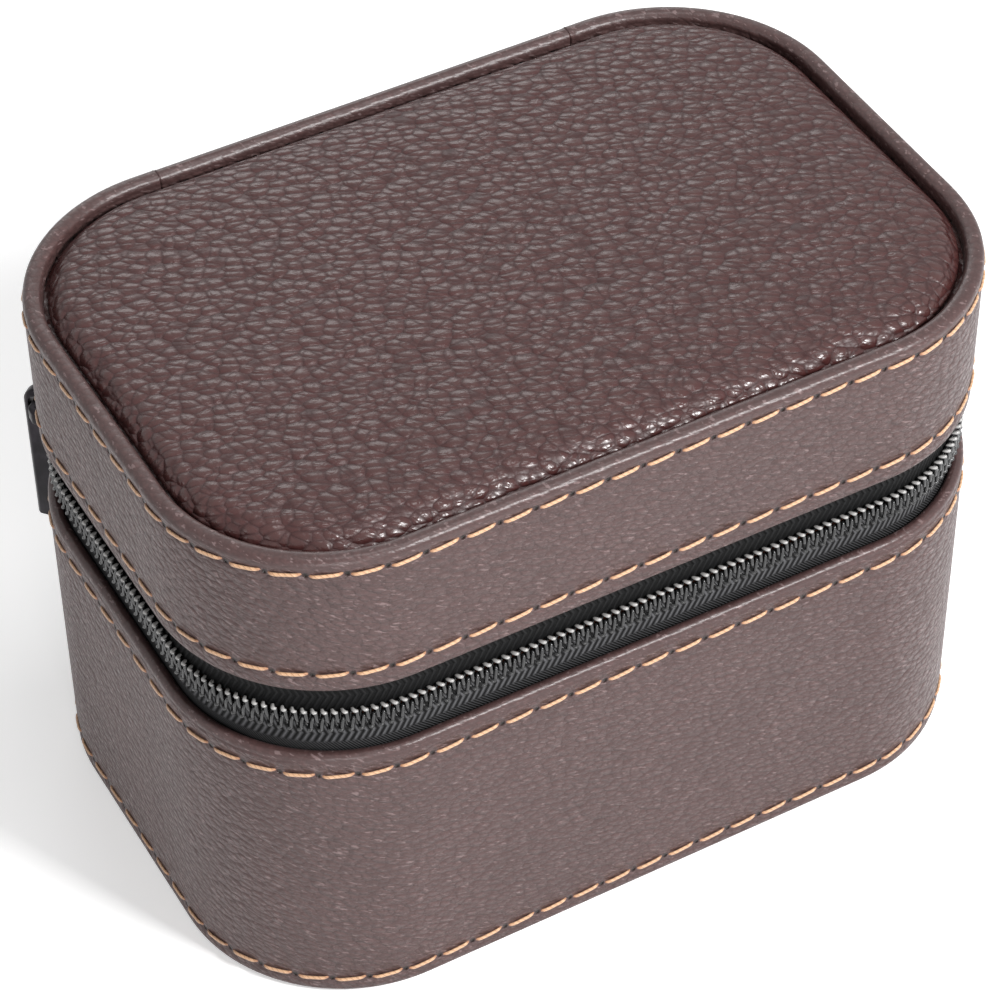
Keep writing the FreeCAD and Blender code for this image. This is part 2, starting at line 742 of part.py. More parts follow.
# Slider, built at the middle of its own length with the wall's outer face at Y = 0 and X along the zip
SLIDER_PLACE = FreeCAD.Placement(
    V(
        -CORNER_X + RADIUS * math.cos(math.radians(PARK)),
        CORNER_Y + RADIUS * math.sin(math.radians(PARK)),
        ZIP_MID,
    ),
    FreeCAD.Rotation(V(0, 0, 1), PARK - 90),
)


def curved_wing(inset, thickness, height):
    """A plate bent to the corner, centred on the slider."""
    tall = height / 2
    outer = Part.makeCylinder(RADIUS - inset, height, V(0, -RADIUS, -tall), V(0, 0, 1), size("slider_deg"))
    inner = Part.makeCylinder(RADIUS - inset - thickness, height, V(0, -RADIUS, -tall), V(0, 0, 1))
    wing = outer.cut(inner)
    wing.rotate(V(0, -RADIUS, 0), V(0, 0, 1), 90 - size("slider_deg") / 2)
    return wing


COIL_FACE = INSET["tape_outer"] - size("coil_depth")
OUTER_WING = COIL_FACE - size("wing_fit") - size("wing")
INNER_WING = INSET["tape_inner"] + size("wing_fit")
outer_wing = curved_wing(OUTER_WING, size("wing"), size("slider_height"))
inner_wing = curved_wing(INNER_WING, size("wing"), size("slider_height"))
lips = []
for way in (-1, 1):
    lip = curved_wing(OUTER_WING, size("wing") + size("flange_depth"), size("flange"))
    lip.translate(V(0, 0, way * (size("slider_height") - size("flange")) / 2))
    lips.append(lip)
wedge_at = size("slider_deg") / 2 - math.degrees(size("wedge_length") / RADIUS) / 2
wedge_deep = INNER_WING + size("wing") - OUTER_WING
wedge_low = V(-size("wedge_length") / 2, -OUTER_WING - wedge_deep + size("wing") / 2, -size("wedge_width") / 2)
wedge = Part.makeBox(size("wedge_length"), wedge_deep - size("wing"), size("wedge_width"), wedge_low)
long_edges = [edge for edge in wedge.Edges if edge.BoundBox.YLength > size("wing")]
wedge = wedge.makeFillet(size("wedge_width") / 2.5, long_edges)
wedge.rotate(V(0, -RADIUS, 0), V(0, 0, 1), -wedge_at)
slider = outer_wing.fuse([inner_wing, wedge] + lips)
slider_body = set_shape("slider_body", slider.removeSplitter())
slider_body.Placement = SLIDER_PLACE

# Bridge: a strap that arches over the outer wing and holds the puller
BRIDGE_FOOT = -OUTER_WING
strap = size("bridge_strap")
peak = BRIDGE_FOOT + size("bridge_clear") + strap
half_long = size("bridge_length") / 2
half_open = size("bridge_opening") / 2
outline = Part.makePolygon(
    [
        V(-half_long, BRIDGE_FOOT - size("wing") / 2, 0),
        V(-half_long, peak - strap, 0),
        V(-half_long + strap, peak, 0),
        V(half_long - strap, peak, 0),
        V(half_long, peak - strap, 0),
        V(half_long, BRIDGE_FOOT - size("wing") / 2, 0),
        V(-half_long, BRIDGE_FOOT - size("wing") / 2, 0),
    ]
)
tall = size("bridge_height")
arch = Part.Face(outline).extrude(V(0, 0, tall))
arch.translate(V(0, 0, -tall / 2))
under = Part.makeBox(2 * half_open, size("bridge_clear") + size("wing"), 2 * tall)
under.translate(V(-half_open, BRIDGE_FOOT - size("wing"), -tall))
arch = arch.cut(under).cut(slider)
slider_bridge = set_shape("slider_bridge", arch)
slider_bridge.Placement = SLIDER_PLACE

# Puller: a flat bar with a slotted eye, hanging from the bridge
AXIS_OUT = BRIDGE_FOOT + size("bridge_clear") + strap / 2
half_wide = size("puller_width") / 2
hang = size("puller_length") - half_wide
half_thick = size("puller_thickness") / 2
bar = Part.makeBox(2 * half_thick, 2 * half_wide, hang, V(-half_thick, AXIS_OUT - half_wide, -hang))
eye_end = Part.makeCylinder(half_wide, 2 * half_thick, V(-half_thick, AXIS_OUT, 0), V(1, 0, 0))
hole_radius = size("puller_hole") / 2
over = size("cut_overrun")
hole = Part.makeCylinder(hole_radius, 2 * (half_thick + over), V(-half_thick - over, AXIS_OUT, 0), V(1, 0, 0))
slot = Part.makeBox(
    2 * (half_thick + over),
    2 * hole_radius,
    size("puller_slot"),
    V(-half_thick - over, AXIS_OUT - hole_radius, -size("puller_slot")),
)
puller = bar.fuse(eye_end).removeSplitter()
long_edges = [edge for edge in puller.Edges if edge.BoundBox.ZLength > hang / 2]
puller = puller.makeChamfer(size("puller_easing"), long_edges)
puller = puller.cut(hole.fuse(slot))
pull_tab = set_shape("pull_tab", puller)
pull_tab.Placement = SLIDER_PLACE

# Watch pillow: a suede loaf, its crowned section swelling towards the middle of its width
PILLOW_LOW = worked_out(FLOOR_TOP) + size("pillow_fit")
# Each section: place along half the width, and scale of the section there, both as shares
PILLOW_SECTION_SHARES = [(-1.0, 0.80), (-0.97, 0.90), (-0.86, 0.965), (-0.5, 0.995), (0.0, 1.0)]
PILLOW_SECTION_SHARES += [(-place_share, scale_share) for place_share, scale_share in PILLOW_SECTION_SHARES[3::-1]]


def loaf_wire(place_y, half_long, high, low):
    """One section of the loaf: flat under, upright ends, crowned on top."""
    knee = high / 4
    shoulder = high / 2.6
    swell = high / 30
    p0 = V(-half_long + knee, place_y, low)
    p1 = V(half_long - knee, place_y, low)
    p2 = V(half_long, place_y, low + knee)
    p3 = V(half_long, place_y, low + high - shoulder - swell)
    p4 = V(half_long - shoulder, place_y, low + high - swell)
    p5 = V(-half_long + shoulder, place_y, low + high - swell)
    p6 = V(-half_long, place_y, low + high - shoulder - swell)
    p7 = V(-half_long, place_y, low + knee)
    near = 1 - math.sqrt(0.5)
    m12 = V(half_long - knee * near, place_y, low + knee * near)
    m34 = V(half_long - shoulder * near, place_y, low + high - swell - shoulder * near)
    m45 = V(0, place_y, low + high)
    m56 = V(-half_long + shoulder * near, place_y, low + high - swell - shoulder * near)
    m70 = V(-half_long + knee * near, place_y, low + knee * near)
    edges = [
        Part.LineSegment(p0, p1).toShape(),
        Part.Arc(p1, m12, p2).toShape(),
        Part.LineSegment(p2, p3).toShape(),
        Part.Arc(p3, m34, p4).toShape(),
        Part.Arc(p4, m45, p5).toShape(),
        Part.Arc(p5, m56, p6).toShape(),
        Part.LineSegment(p6, p7).toShape(),
        Part.Arc(p7, m70, p0).toShape(),
    ]
    return Part.Wire(edges)


loaf_wires = []
for place_share, scale_share in PILLOW_SECTION_SHARES:
    half_long = size("pillow_length") / 2 * (1 + scale_share) / 2
    high = size("pillow_height") * scale_share
    loaf_wires.append(loaf_wire(place_share * size("pillow_width") / 2, half_long, high, PILLOW_LOW))
loaf = Part.makeLoft(loaf_wires, True, True)


def foam_core(offset):
    """The foam block cut for the pillow, with bevelled long edges, grown by an offset."""
    inner = size("pillow_cover") + size("pillow_wadding") - offset
    half_x = size("pillow_length") / 2 - inner
    half_y = size("pillow_width") / 2 - inner
    low = PILLOW_LOW + size("pillow_cover") - offset
    high = PILLOW_LOW + size("pillow_height") - inner
    bevel = size("pillow_bevel")
    corners = [
        V(-half_x + bevel / 2, -half_y, low),
        V(half_x - bevel / 2, -half_y, low),
        V(half_x, -half_y, low + bevel / 2),
        V(half_x, -half_y, high - bevel),
        V(half_x - bevel, -half_y, high),
        V(-half_x + bevel, -half_y, high),
        V(-half_x, -half_y, high - bevel),
        V(-half_x, -half_y, low + bevel / 2),
    ]
    return Part.Face(Part.makePolygon(corners + corners[:1])).extrude(V(0, 2 * half_y, 0))


set_shape("pillow_foam", foam_core(0.0))
set_shape("pillow_cover", loaf.cut(foam_core(size("glue_line"))))

doc.recompute()

NODES = [
    "base_floor_board", "base_bottom_leather", "base_wall_board", "base_band_leather",
    "base_floor_lining", "base_wall_foam", "base_wall_lining", "lid_wall_board", "lid_top_board",
    "lid_band_leather", "lid_ceiling_lining", "lid_wall_foam", "lid_wall_lining", "lid_top_foam",
    "lid_top_leather", "hinge_leather", "hinge_lining", "zip_gusset_left", "zip_gusset_right",
    "zip_tape_lower", "zip_tape_upper", "zip_tape_upper_corner", "zip_coil_lower", "zip_coil_lower_corner", "zip_coil_upper",
    "zip_coil_upper_corner", "zip_end_stops", "slider_body", "slider_bridge", "pull_tab",
    "pillow_foam", "pillow_cover",
]

for item in doc.Objects:
    faults = [word for word in item.State if word in ("Invalid", "Error")]
    if faults:
        raise ValueError("%s: %s" % (item.Label, faults))
pieces = {item.Label: item for item in doc.Objects if item.Label in NODES}
for node in NODES:
    shape = pieces[node].Shape
    if shape.isNull() or not shape.isValid() or shape.Volume <= 0:
        raise ValueError("bad shape: " + node)
os.makedirs("parts", exist_ok=True)
for node in NODES:
    shape = pieces[node].Shape
    shape.exportStep("parts/%s.step" % node)
    print("%-24s %9.1f mm3 %3d solids %4d faces" % (node, shape.Volume, len(shape.Solids), len(shape.Faces)))
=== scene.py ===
import math

import bpy
import bmesh
import numpy as np
from mathutils import Matrix, Vector


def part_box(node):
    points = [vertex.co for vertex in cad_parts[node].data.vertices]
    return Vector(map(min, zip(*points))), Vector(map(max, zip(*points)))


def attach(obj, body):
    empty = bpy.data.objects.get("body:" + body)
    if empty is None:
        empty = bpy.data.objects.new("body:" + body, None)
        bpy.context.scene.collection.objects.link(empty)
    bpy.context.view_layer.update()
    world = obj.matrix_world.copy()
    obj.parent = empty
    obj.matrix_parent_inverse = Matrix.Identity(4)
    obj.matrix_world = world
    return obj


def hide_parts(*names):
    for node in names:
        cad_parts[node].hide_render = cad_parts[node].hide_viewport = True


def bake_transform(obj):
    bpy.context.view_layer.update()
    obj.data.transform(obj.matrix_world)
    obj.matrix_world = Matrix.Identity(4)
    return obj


bl_info = {
    "name": "Watch travel case",
    "version": (1, 0, 0),
    "blender": (4, 5, 0),
    "location": "View3D > Sidebar > Watch Case",
    "description": "Dresses the leather watch travel case with leather, stitching, zip and suede",
    "category": "Object",
}

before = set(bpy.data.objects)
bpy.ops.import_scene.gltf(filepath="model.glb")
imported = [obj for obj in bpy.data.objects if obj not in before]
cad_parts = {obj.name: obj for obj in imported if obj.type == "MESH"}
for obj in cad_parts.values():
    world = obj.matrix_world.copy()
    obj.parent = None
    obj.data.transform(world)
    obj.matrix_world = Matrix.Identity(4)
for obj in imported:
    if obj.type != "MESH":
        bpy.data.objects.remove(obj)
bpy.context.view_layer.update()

MM = 0.001

# Main sizes, all read from the frame, in metres
(_, _, FOOT), (HALF_X, HALF_Y, BASE_EDGE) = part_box("base_band_leather")
LID_EDGE, RIM = [corner[2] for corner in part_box("lid_band_leather")]
ZIP_MID = (BASE_EDGE + LID_EDGE) / 2
SPINE_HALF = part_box("hinge_leather")[1][0]
TAPE_FACE = HALF_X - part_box("zip_tape_lower")[1][0]
PANEL_LOW, PANEL_HIGH = [corner[2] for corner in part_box("lid_top_leather")]
PANEL_INSET = HALF_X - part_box("lid_top_leather")[1][0]

# The outline seen from above: a rounded rectangle of straight runs and quarter turns
CORNER = 24.3 * MM
RUN_X = HALF_X - CORNER
RUN_Y = HALF_Y - CORNER
QUARTER = math.pi / 2 * CORNER
LEFT_RUN = RUN_X + QUARTER
FRONT_RUN = LEFT_RUN + 2 * RUN_Y + QUARTER
RIGHT_RUN = FRONT_RUN + 2 * RUN_X + QUARTER
OUTLINE = 4 * RUN_X + 4 * RUN_Y + 2 * math.pi * CORNER
CORNER_CUTS = 28
WALL_STEP = 1.6 * MM

# Stitching: distance between needle holes, and the heights of the four rows
STITCH_PITCH = 5.05 * MM
ROWS = {
    "lid_upper": RIM - 2.25 * MM,
    "lid_lower": LID_EDGE + 3.4 * MM,
    "base_upper": BASE_EDGE - 3.4 * MM,
    "base_lower": FOOT + 2.75 * MM,
}

# The zip stops this far from the spine at both ends
ZIP_MARGIN = 2.0 * MM


# Shader maths on sockets


class Wire:
    """A shader socket whose operators add Math nodes."""

    def __init__(self, graph, socket):
        self.graph = graph
        self.socket = socket

    def math(self, operation, *others):
        node = self.graph.tree.nodes.new("ShaderNodeMath")
        node.operation = operation
        for index, value in enumerate((self,) + others):
            self.graph.feed(node.inputs[index], value)
        return Wire(self.graph, node.outputs[0])

    def __add__(self, other):
        return self.math("ADD", other)

    __radd__ = __add__

    def __mul__(self, other):
        return self.math("MULTIPLY", other)

    __rmul__ = __mul__

    def __sub__(self, other):
        return self.math("SUBTRACT", other)

    def __rsub__(self, other):
        return (self * -1.0) + other

    def __truediv__(self, other):
        return self.math("DIVIDE", other)

    def fraction(self):
        return self.math("FRACT")

    def size_of(self):
        return self.math("ABSOLUTE")

    def above(self, other):
        return self.math("GREATER_THAN", other)

    def most(self, other):
        return self.math("MAXIMUM", other)

    def ramp(self, low, high, to_low=0.0, to_high=1.0):
        """Mapped from one range to another with soft ends."""
        inputs = {0: self, 1: low, 2: high, 3: to_low, 4: to_high}
        return self.graph.node(
            "ShaderNodeMapRange", {"interpolation_type": "SMOOTHSTEP"}, inputs
        )


class Graph:
    """The nodes of a new material or world, with its shader."""

    def __init__(self, name, world=False):
        self.owner = (bpy.data.worlds if world else bpy.data.materials).new(name)
        self.owner.use_nodes = True
        self.tree = self.owner.node_tree
        self.shader = self.tree.nodes["Background" if world else "Principled BSDF"]

    def feed(self, socket, value):
        if isinstance(value, Wire):
            self.tree.links.new(value.socket, socket)
        else:
            socket.default_value = value

    def node(self, kind, settings=None, inputs=None, output=0):
        """Any node: settings are set first, then the values or links of its sockets."""
        made = self.tree.nodes.new(kind)
        for key, value in (settings or {}).items():
            setattr(made, key, value)
        for key, value in (inputs or {}).items():
            self.feed(made.inputs[key], value)
        return Wire(self, made.outputs[output])

    def place(self):
        return self.node("ShaderNodeTexCoord", output="Object")

    def along(self):
        """The piece's own UV map: distance along the wall and height, in metres."""
        return self.node("ShaderNodeUVMap", {"uv_map": "Wall"})

    def seen(self):
        """1 where the camera or a reflection sees it, 0 where it only gives light."""
        mirrored = self.node("ShaderNodeLightPath", output="Is Glossy Ray")
        return self.node("ShaderNodeLightPath").most(mirrored)

    def split(self, vector):
        made = self.tree.nodes.new("ShaderNodeSeparateXYZ")
        self.feed(made.inputs[0], vector)
        return [Wire(self, made.outputs[index]) for index in range(3)]

    def stretched(self, vector, scale):
        return self.node("ShaderNodeMapping", {}, {"Vector": vector, "Scale": scale})

    def turned(self, vector, degrees):
        turn = [math.radians(angle) for angle in degrees]
        return self.node("ShaderNodeMapping", {}, {"Vector": vector, "Rotation": turn})

    def noise(self, vector, scale, detail=2.0, roughness=0.5):
        inputs = {"Vector": vector, "Scale": scale, "Detail": detail, "Roughness": roughness}
        return self.node("ShaderNodeTexNoise", {}, inputs)

    def cells(self, vector, scale, feature="F1"):
        inputs = {"Vector": vector, "Scale": scale}
        return self.node("ShaderNodeTexVoronoi", {"feature": feature}, inputs)

    def mix(self, factor, first, second):
        inputs = {"Factor": factor, 6: first, 7: second}
        return self.node("ShaderNodeMix", {"data_type": "RGBA"}, inputs, output=2)

    def colour(self, wire):
        self.feed(self.shader.inputs["Base Color"], wire)

    def rough(self, wire):
        self.feed(self.shader.inputs["Roughness"], wire)

    def bump(self, height, distance, strength=1.0):
        made = self.tree.nodes.new("ShaderNodeBump")
        made.inputs["Strength"].default_value = strength
        made.inputs["Distance"].default_value = distance
        self.feed(made.inputs["Height"], height)
        self.tree.links.new(made.outputs[0], self.shader.inputs["Normal"])

    def fixed(self, **values):
        """Sockets that are the same all over."""
        for word, value in values.items():
            socket = word.replace("_", " ").title().replace("Ior", "IOR")
            self.shader.inputs[socket].default_value = value


def shade(colour, red, green=None, blue=None):
    """The colour made lighter or darker, by one amount or one for each channel."""
    green = red if green is None else green
    blue = red if blue is None else blue
    return (colour[0] * red, colour[1] * green, colour[2] * blue, 1.0)


def pebbles(g, place, scale, edge):
    """Rounded leather cells with narrow creases between them, 0 in a crease and 1 on a cell."""
    return g.cells(place, scale, "DISTANCE_TO_EDGE").ramp(0.0, edge)


def domes(g, place, scale):
    """Round-topped leather cells that meet in sharp valleys."""
    far = g.cells(place, scale)
    return 1.0 - far * far * 1.3


def warped(g, place, scale, amount):
    """The place moved about by a soft noise, so that cells aren't regular."""
    drift = g.node(
        "ShaderNodeTexNoise", {}, {"Vector": place, "Scale": scale, "Detail": 2.0}, output=1
    )
    moved = g.node("ShaderNodeVectorMath", {"operation": "SCALE"}, {0: drift, "Scale": amount})
    return g.node("ShaderNodeVectorMath", {"operation": "ADD"}, {0: place, 1: moved})


def band_leather(colour, rows):
    """Fine pebbled leather of the side bands; needle holes and dents follow the stitch rows."""
    cell = 1000.0
    furrow_width = 1.25 * MM
    hole_width = 0.5 * MM
    hole_shade = (0.012, 0.006, 0.004, 1.0)
    g = Graph("band_leather")
    place = g.place()
    bias = g.turned(place, (0.0, -25.0, 0.0))
    bent = warped(g, g.stretched(bias, (0.65, 0.8, 1.25)), 260.0, 0.3 * MM)
    large = pebbles(g, bent, cell, 0.5)
    small = pebbles(g, bent, cell * 2.0, 0.3)
    fine = g.noise(place, 3800.0, 3.0, 0.6)
    wave = g.noise(place, 90.0, 2.0)
    u, v, _ = g.split(g.along())
    holes = None
    furrow = None
    for level in rows:
        off = (v - level).size_of()
        near = off.ramp(0.0, furrow_width, 1.0, 0.0)
        furrow = near if furrow is None else furrow.most(near)
        phase = ((u / STITCH_PITCH).fraction() - 0.5).size_of()
        end = phase.ramp(0.0, 0.085, 1.0, 0.0)
        hole = end * off.ramp(0.0, hole_width, 1.0, 0.0)
        holes = hole if holes is None else holes.most(hole)
    tone = g.mix(wave.ramp(0.35, 0.65), shade(colour, 0.94), shade(colour, 1.06))
    crease = 1.0 - large * 0.65 - small * 0.35
    # Painted shade: the colour is darkened in the creases between the cells
    tone = g.mix(crease * 0.7, tone, shade(colour, 0.45))
    # Painted highlight: short light glints along the grain, lightened in the colour
    painted_glint = g.noise(g.stretched(bias, (0.5, 0.7, 2.0)), 1250.0, 2.0, 0.6).ramp(0.6, 0.68)
    tone = g.mix(painted_glint * 0.6, tone, shade(colour, 2.5, 3.3, 3.4))
    # Painted shade: the needle holes are darkened in the colour
    tone = g.mix(holes.ramp(0.2, 0.8), tone, hole_shade)
    g.colour(tone)
    height = domes(g, bent, cell) + small * 0.1 + fine * 0.04 + wave * 0.4
    # The grain is pressed flat where the leather rolls over the edge
    turned = v.ramp(BASE_EDGE - 1.7 * MM, BASE_EDGE - 0.9 * MM) * (ZIP_MID - v).above(0.0)
    rolled = v.ramp(RIM - 2.0 * MM, RIM - 1.2 * MM).most(turned)
    height = (height - furrow * 0.8) * (1.0 - rolled * 0.8) - holes * 4.0
    g.rough((crease * 0.25 + fine * 0.06) * (1.0 - rolled * 0.7) + rolled * 0.07 + 0.23)
    g.bump(height, 0.28 * MM)
    g.fixed(specular_ior_level=0.4)
    return g.owner


def panel_leather(colour):
    """Coarser pebbled leather of the padded top, with short creases along its length."""
    cell = 800.0
    g = Graph("panel_leather")
    place = g.place()
    lean = g.stretched(g.turned(place, (0.0, 0.0, 28.0)), (0.6, 0.88, 1.0))
    bent = warped(g, lean, 240.0, 1.0 * MM)
    large = pebbles(g, bent, cell, 0.2)
    small = pebbles(g, bent, 1500.0, 0.3)
    fine = g.noise(place, 3200.0, 3.0, 0.6)
    wave = g.noise(place, 55.0, 2.0)
    crease = 1.0 - large * 0.85 - small * 0.15
    tone = g.mix(wave.ramp(0.35, 0.65), shade(colour, 0.95), shade(colour, 1.05))
    dome = domes(g, bent, cell)
    # Painted highlight: the tops of the domes are lightened to grey
    peak_highlight = dome.ramp(0.45, 0.95)
    tone = g.mix(peak_highlight * 0.5, tone, shade(colour, 1.15, 1.7, 1.65))
    # Painted shade: the creases between the cells are darkened to a deep red
    tone = g.mix(crease * 0.9, tone, shade(colour, 0.36, 0.16, 0.16))
    tint = g.noise(place, 420.0, 2.0).ramp(0.45, 0.7)
    tone = g.mix(tint * 0.25, tone, shade(colour, 1.1, 1.35, 1.3))
    g.colour(tone)
    g.rough(crease * 0.3 + 0.2 + fine * 0.05)
    height = dome + small * 0.06 + fine * 0.04 + wave * 0.5
    g.bump(height, 0.37 * MM)
    g.fixed(specular_ior_level=0.4)
    return g.owner


def suede(name, colour, nap):
    """Napped suede: soft mottled pile with lighter specks."""
    g = Graph(name)
    place = g.place()
    pile = g.noise(place, 2600.0, 4.0, 0.75)
    patch = g.noise(place, 240.0, 3.0, 0.6)
    speck = g.noise(place, 1250.0, 2.0, 0.7)
    tone = g.mix(patch.ramp(0.3, 0.7), shade(colour, 0.88), shade(colour, 1.1))
    tone = g.mix(pile.ramp(0.45, 0.75) * 0.5, tone, shade(colour, 0.5))
    tone = g.mix(speck.ramp(0.54, 0.64) * nap, tone, shade(colour, 2.3))
    g.colour(tone)
    g.rough(pile * 0.1 + 0.85)
    g.bump(pile + patch * 0.6, 0.12 * MM, 0.8)
    g.fixed(sheen_weight=0.25, sheen_roughness=0.4, specular_ior_level=0.2)
    g.shader.inputs["Sheen Tint"].default_value = shade(colour, 1.6)
    return g.owner


def zip_cloth(colour):
    """Woven black tape: a coarse herringbone beside the coil, fine ribs farther out."""
    g = Graph("zip_cloth")
    u, v, _ = g.split(g.along())
    off = (v - ZIP_MID).size_of()
    lean = ((off - 3.4 * MM) / (1.5 * MM)).size_of()
    rib = ((u / (1.0 * MM)) + lean * 0.8).fraction()
    coarse = (rib - 0.5).size_of().ramp(0.08, 0.45, 1.0, 0.0)
    weave = ((u / (0.5 * MM)) + (v / (0.5 * MM))).fraction()
    fine = (weave - 0.5).size_of().ramp(0.05, 0.45, 1.0, 0.0)
    near = off.ramp(4.6 * MM, 5.2 * MM, 1.0, 0.0)
    ridge = coarse * near + fine * (1.0 - near) * 0.5
    fuzz = g.noise(g.place(), 3500.0, 3.0, 0.7)
    # Painted shade: above the middle, under the lid's edge, the weave is kept almost black
    lower = (ZIP_MID - v).ramp(-0.5 * MM, 0.5 * MM, 0.07, 1.0)
    tone = g.mix(ridge * lower * (fuzz * 0.6 + 0.6), shade(colour, 0.3), shade(colour, 9.0))
    g.colour(tone)
    g.rough(0.75 - ridge * 0.2)
    g.bump(ridge + fuzz * 0.2, 0.3 * MM)
    g.fixed(specular_ior_level=0.15)
    return g.owner


def coil_plastic(colour):
    """Glossy black monofilament."""
    g = Graph("coil_plastic")
    place = g.place()
    streak = g.noise(place, 900.0, 2.0)
    _, _, height = g.split(place)
    tone = g.mix(streak, shade(colour, 0.7), shade(colour, 2.0))
    # Painted highlight: the upper coil's outer bends are lightened to grey where they catch the
    # light
    bend = height.ramp(ZIP_MID + 1.53 * MM, ZIP_MID + 1.66 * MM)
    g.colour(g.mix(bend * 0.9, tone, (0.42, 0.41, 0.40, 1.0)))
    g.rough(streak * 0.1 + 0.2)
    g.bump(g.noise(place, 4000.0, 2.0), 0.02 * MM, 0.5)
    g.fixed(specular_ior_level=0.6)
    return g.owner


def black_metal(colour):
    """Black plated metal, mottled a little toward gunmetal."""
    g = Graph("black_metal")
    place = g.place()
    cloud = g.noise(place, 500.0, 3.0)
    scratch = g.noise(g.stretched(place, (1.0, 1.0, 0.08)), 3000.0, 2.0)
    g.colour(g.mix(cloud.ramp(0.35, 0.7), shade(colour, 0.7), shade(colour, 1.5)))
    g.rough(cloud * 0.1 + 0.26 + scratch * 0.08)
    g.bump(scratch, 0.015 * MM, 0.5)
    g.fixed(metallic=0.85, specular_ior_level=0.4)
    return g.owner


def thread(colour):
    """Twisted polyester sewing thread."""
    g = Graph("thread")
    place = g.place()
    u, v, _ = g.split(g.node("ShaderNodeUVMap", {"uv_map": "Twist"}))
    ply = ((u + v).fraction() - 0.5).size_of() * 2.0
    groove = ply.ramp(0.0, 0.35, 1.0, 0.0)
    hair = g.noise(place, 6000.0, 2.0)
    thread_shade = shade(colour, 0.4, 0.2, 0.12)
    # Painted shade in the grooves of the twist
    tone = g.mix(groove * 0.6, shade(colour, 1.0), thread_shade)
    tone = g.mix(hair.ramp(0.5, 0.8) * 0.3, tone, (0.9, 0.74, 0.56, 1.0))
    # Painted shade: the ends, where the thread dives into its holes, are darkened
    ends = u.size_of().ramp(1.7, 2.95)
    g.colour(g.mix(ends * 0.8, tone, thread_shade))
    g.rough(hair * 0.1 + 0.42)
    g.bump(ply + hair * 0.2, 0.05 * MM, 0.8)
    g.fixed(sheen_weight=0.2)
    return g.owner


def plain_inner(name, colour, grain, scale):
    """Board or foam, mottled at its own scale."""
    g = Graph(name)
    place = g.place()
    spot = g.noise(place, scale, 4.0, 0.7)
    light = shade(colour, 1.0 + grain)
    g.colour(g.mix(spot.ramp(0.35, 0.65), shade(colour, 1.0 - grain), light))
    g.rough(spot * 0.1 + 0.82)
    g.bump(spot, 0.15 * MM, 0.6)
    return g.owner


# Meshes: shared steps


def deselect():
    if bpy.context.object and bpy.context.object.mode != "OBJECT":
        bpy.ops.object.mode_set(mode="OBJECT")
    bpy.ops.object.select_all(action="DESELECT")


def freeze():
    """Bake place, turn and scale of the active piece into its mesh."""
    bpy.ops.object.transform_apply(location=True, rotation=True, scale=True)


def add_object(name, data):
    made = bpy.data.objects.new(name, data)
    bpy.context.scene.collection.objects.link(made)
    return made


def opened(piece):
    """The piece's mesh, open for editing as points, edges and faces."""
    mesh = bmesh.new()
    mesh.from_mesh(piece.data)
    return mesh


def put_back(mesh, piece):
    mesh.to_mesh(piece.data)
    mesh.free()


def pick(piece):
    """Select this piece alone and make it active."""
    deselect()
    piece.select_set(True)
    bpy.context.view_layer.objects.active = piece


def in_edit(piece, mode="VERT"):
    """Open the piece in edit mode, with all of it selected."""
    pick(piece)
    bpy.ops.object.mode_set(mode="EDIT")
    bpy.ops.mesh.select_mode(type=mode)
    bpy.ops.mesh.select_all(action="SELECT")


def out_of_edit():
    bpy.ops.object.mode_set(mode="OBJECT")


def raise_by(height):
    bpy.ops.mesh.extrude_region_move(TRANSFORM_OT_translate={"value": (0.0, 0.0, height)})


def face_outwards():
    bpy.ops.mesh.select_all(action="SELECT")
    bpy.ops.mesh.normals_make_consistent(inside=False)


def apply_modifier(piece, kind, **settings):
    """Add one modifier with its settings and apply it."""
    pick(piece)
    made = piece.modifiers.new(kind.title(), kind)
    for key, value in settings.items():
        setattr(made, key, value)
    bpy.ops.object.modifier_apply(modifier=made.name)


def round_sharp(piece, width, segments, degrees=60.0):
    """Round every edge that is sharper than the angle."""
    angle = math.radians(degrees)
    apply_modifier(
        piece, "BEVEL", width=width, segments=segments, limit_method="ANGLE", angle_limit=angle
    )


def roll_edges(piece, width, is_seam):
    """Round the sharp edges; at a seam with the next piece they get only a share of the width."""
    seam_share = 0.3
    mesh = opened(piece)
    weight = mesh.edges.layers.float.new("bevel_weight_edge")
    for edge in mesh.edges:
        if len(edge.link_faces) == 2 and edge.calc_face_angle() > math.radians(60):
            edge[weight] = seam_share if is_seam(edge) else 1.0
    put_back(mesh, piece)
    apply_modifier(piece, "BEVEL", width=width, segments=4, limit_method="WEIGHT")


def smooth(piece, degrees=35.0):
    pick(piece)
    bpy.ops.object.shade_smooth_by_angle(angle=math.radians(degrees))


def wear(piece, material):
    piece.data.materials.clear()
    piece.data.materials.append(material)


def rounded_sheet(name, inset, height):
    """A flat rounded plate: a plane with its four corners bevelled."""
    deselect()
    bpy.ops.mesh.primitive_plane_add(size=2.0, location=(0.0, 0.0, height))
    piece = bpy.context.object
    piece.name = name
    piece.data.name = name
    piece.scale = (HALF_X - inset, HALF_Y - inset, 1.0)
    freeze()
    in_edit(piece)
    bpy.ops.mesh.bevel(
        offset=CORNER - inset, segments=CORNER_CUTS, affect="VERTICES", profile=0.5
    )
    out_of_edit()
    return piece


def split_straights(piece):
    """Cut the outline's long straight edges into steps, so that the wall can be shaped."""
    mesh = opened(piece)
    for edge in [e for e in mesh.edges if e.calc_length() > 2.0 * WALL_STEP]:
        cuts = max(1, round(edge.calc_length() / WALL_STEP) - 1)
        bmesh.ops.subdivide_edges(mesh, edges=[edge], cuts=cuts)
    put_back(mesh, piece)


def wall_sheet(name, inset, levels):
    """A closed thin wall round the case, with a loop of points at each height."""
    piece = rounded_sheet(name, inset, levels[0])
    split_straights(piece)
    in_edit(piece)
    bpy.ops.mesh.delete(type="ONLY_FACE")
    bpy.ops.mesh.select_all(action="SELECT")
    for low, high in zip(levels, levels[1:]):
        raise_by(high - low)
    face_outwards()
    out_of_edit()
    return piece


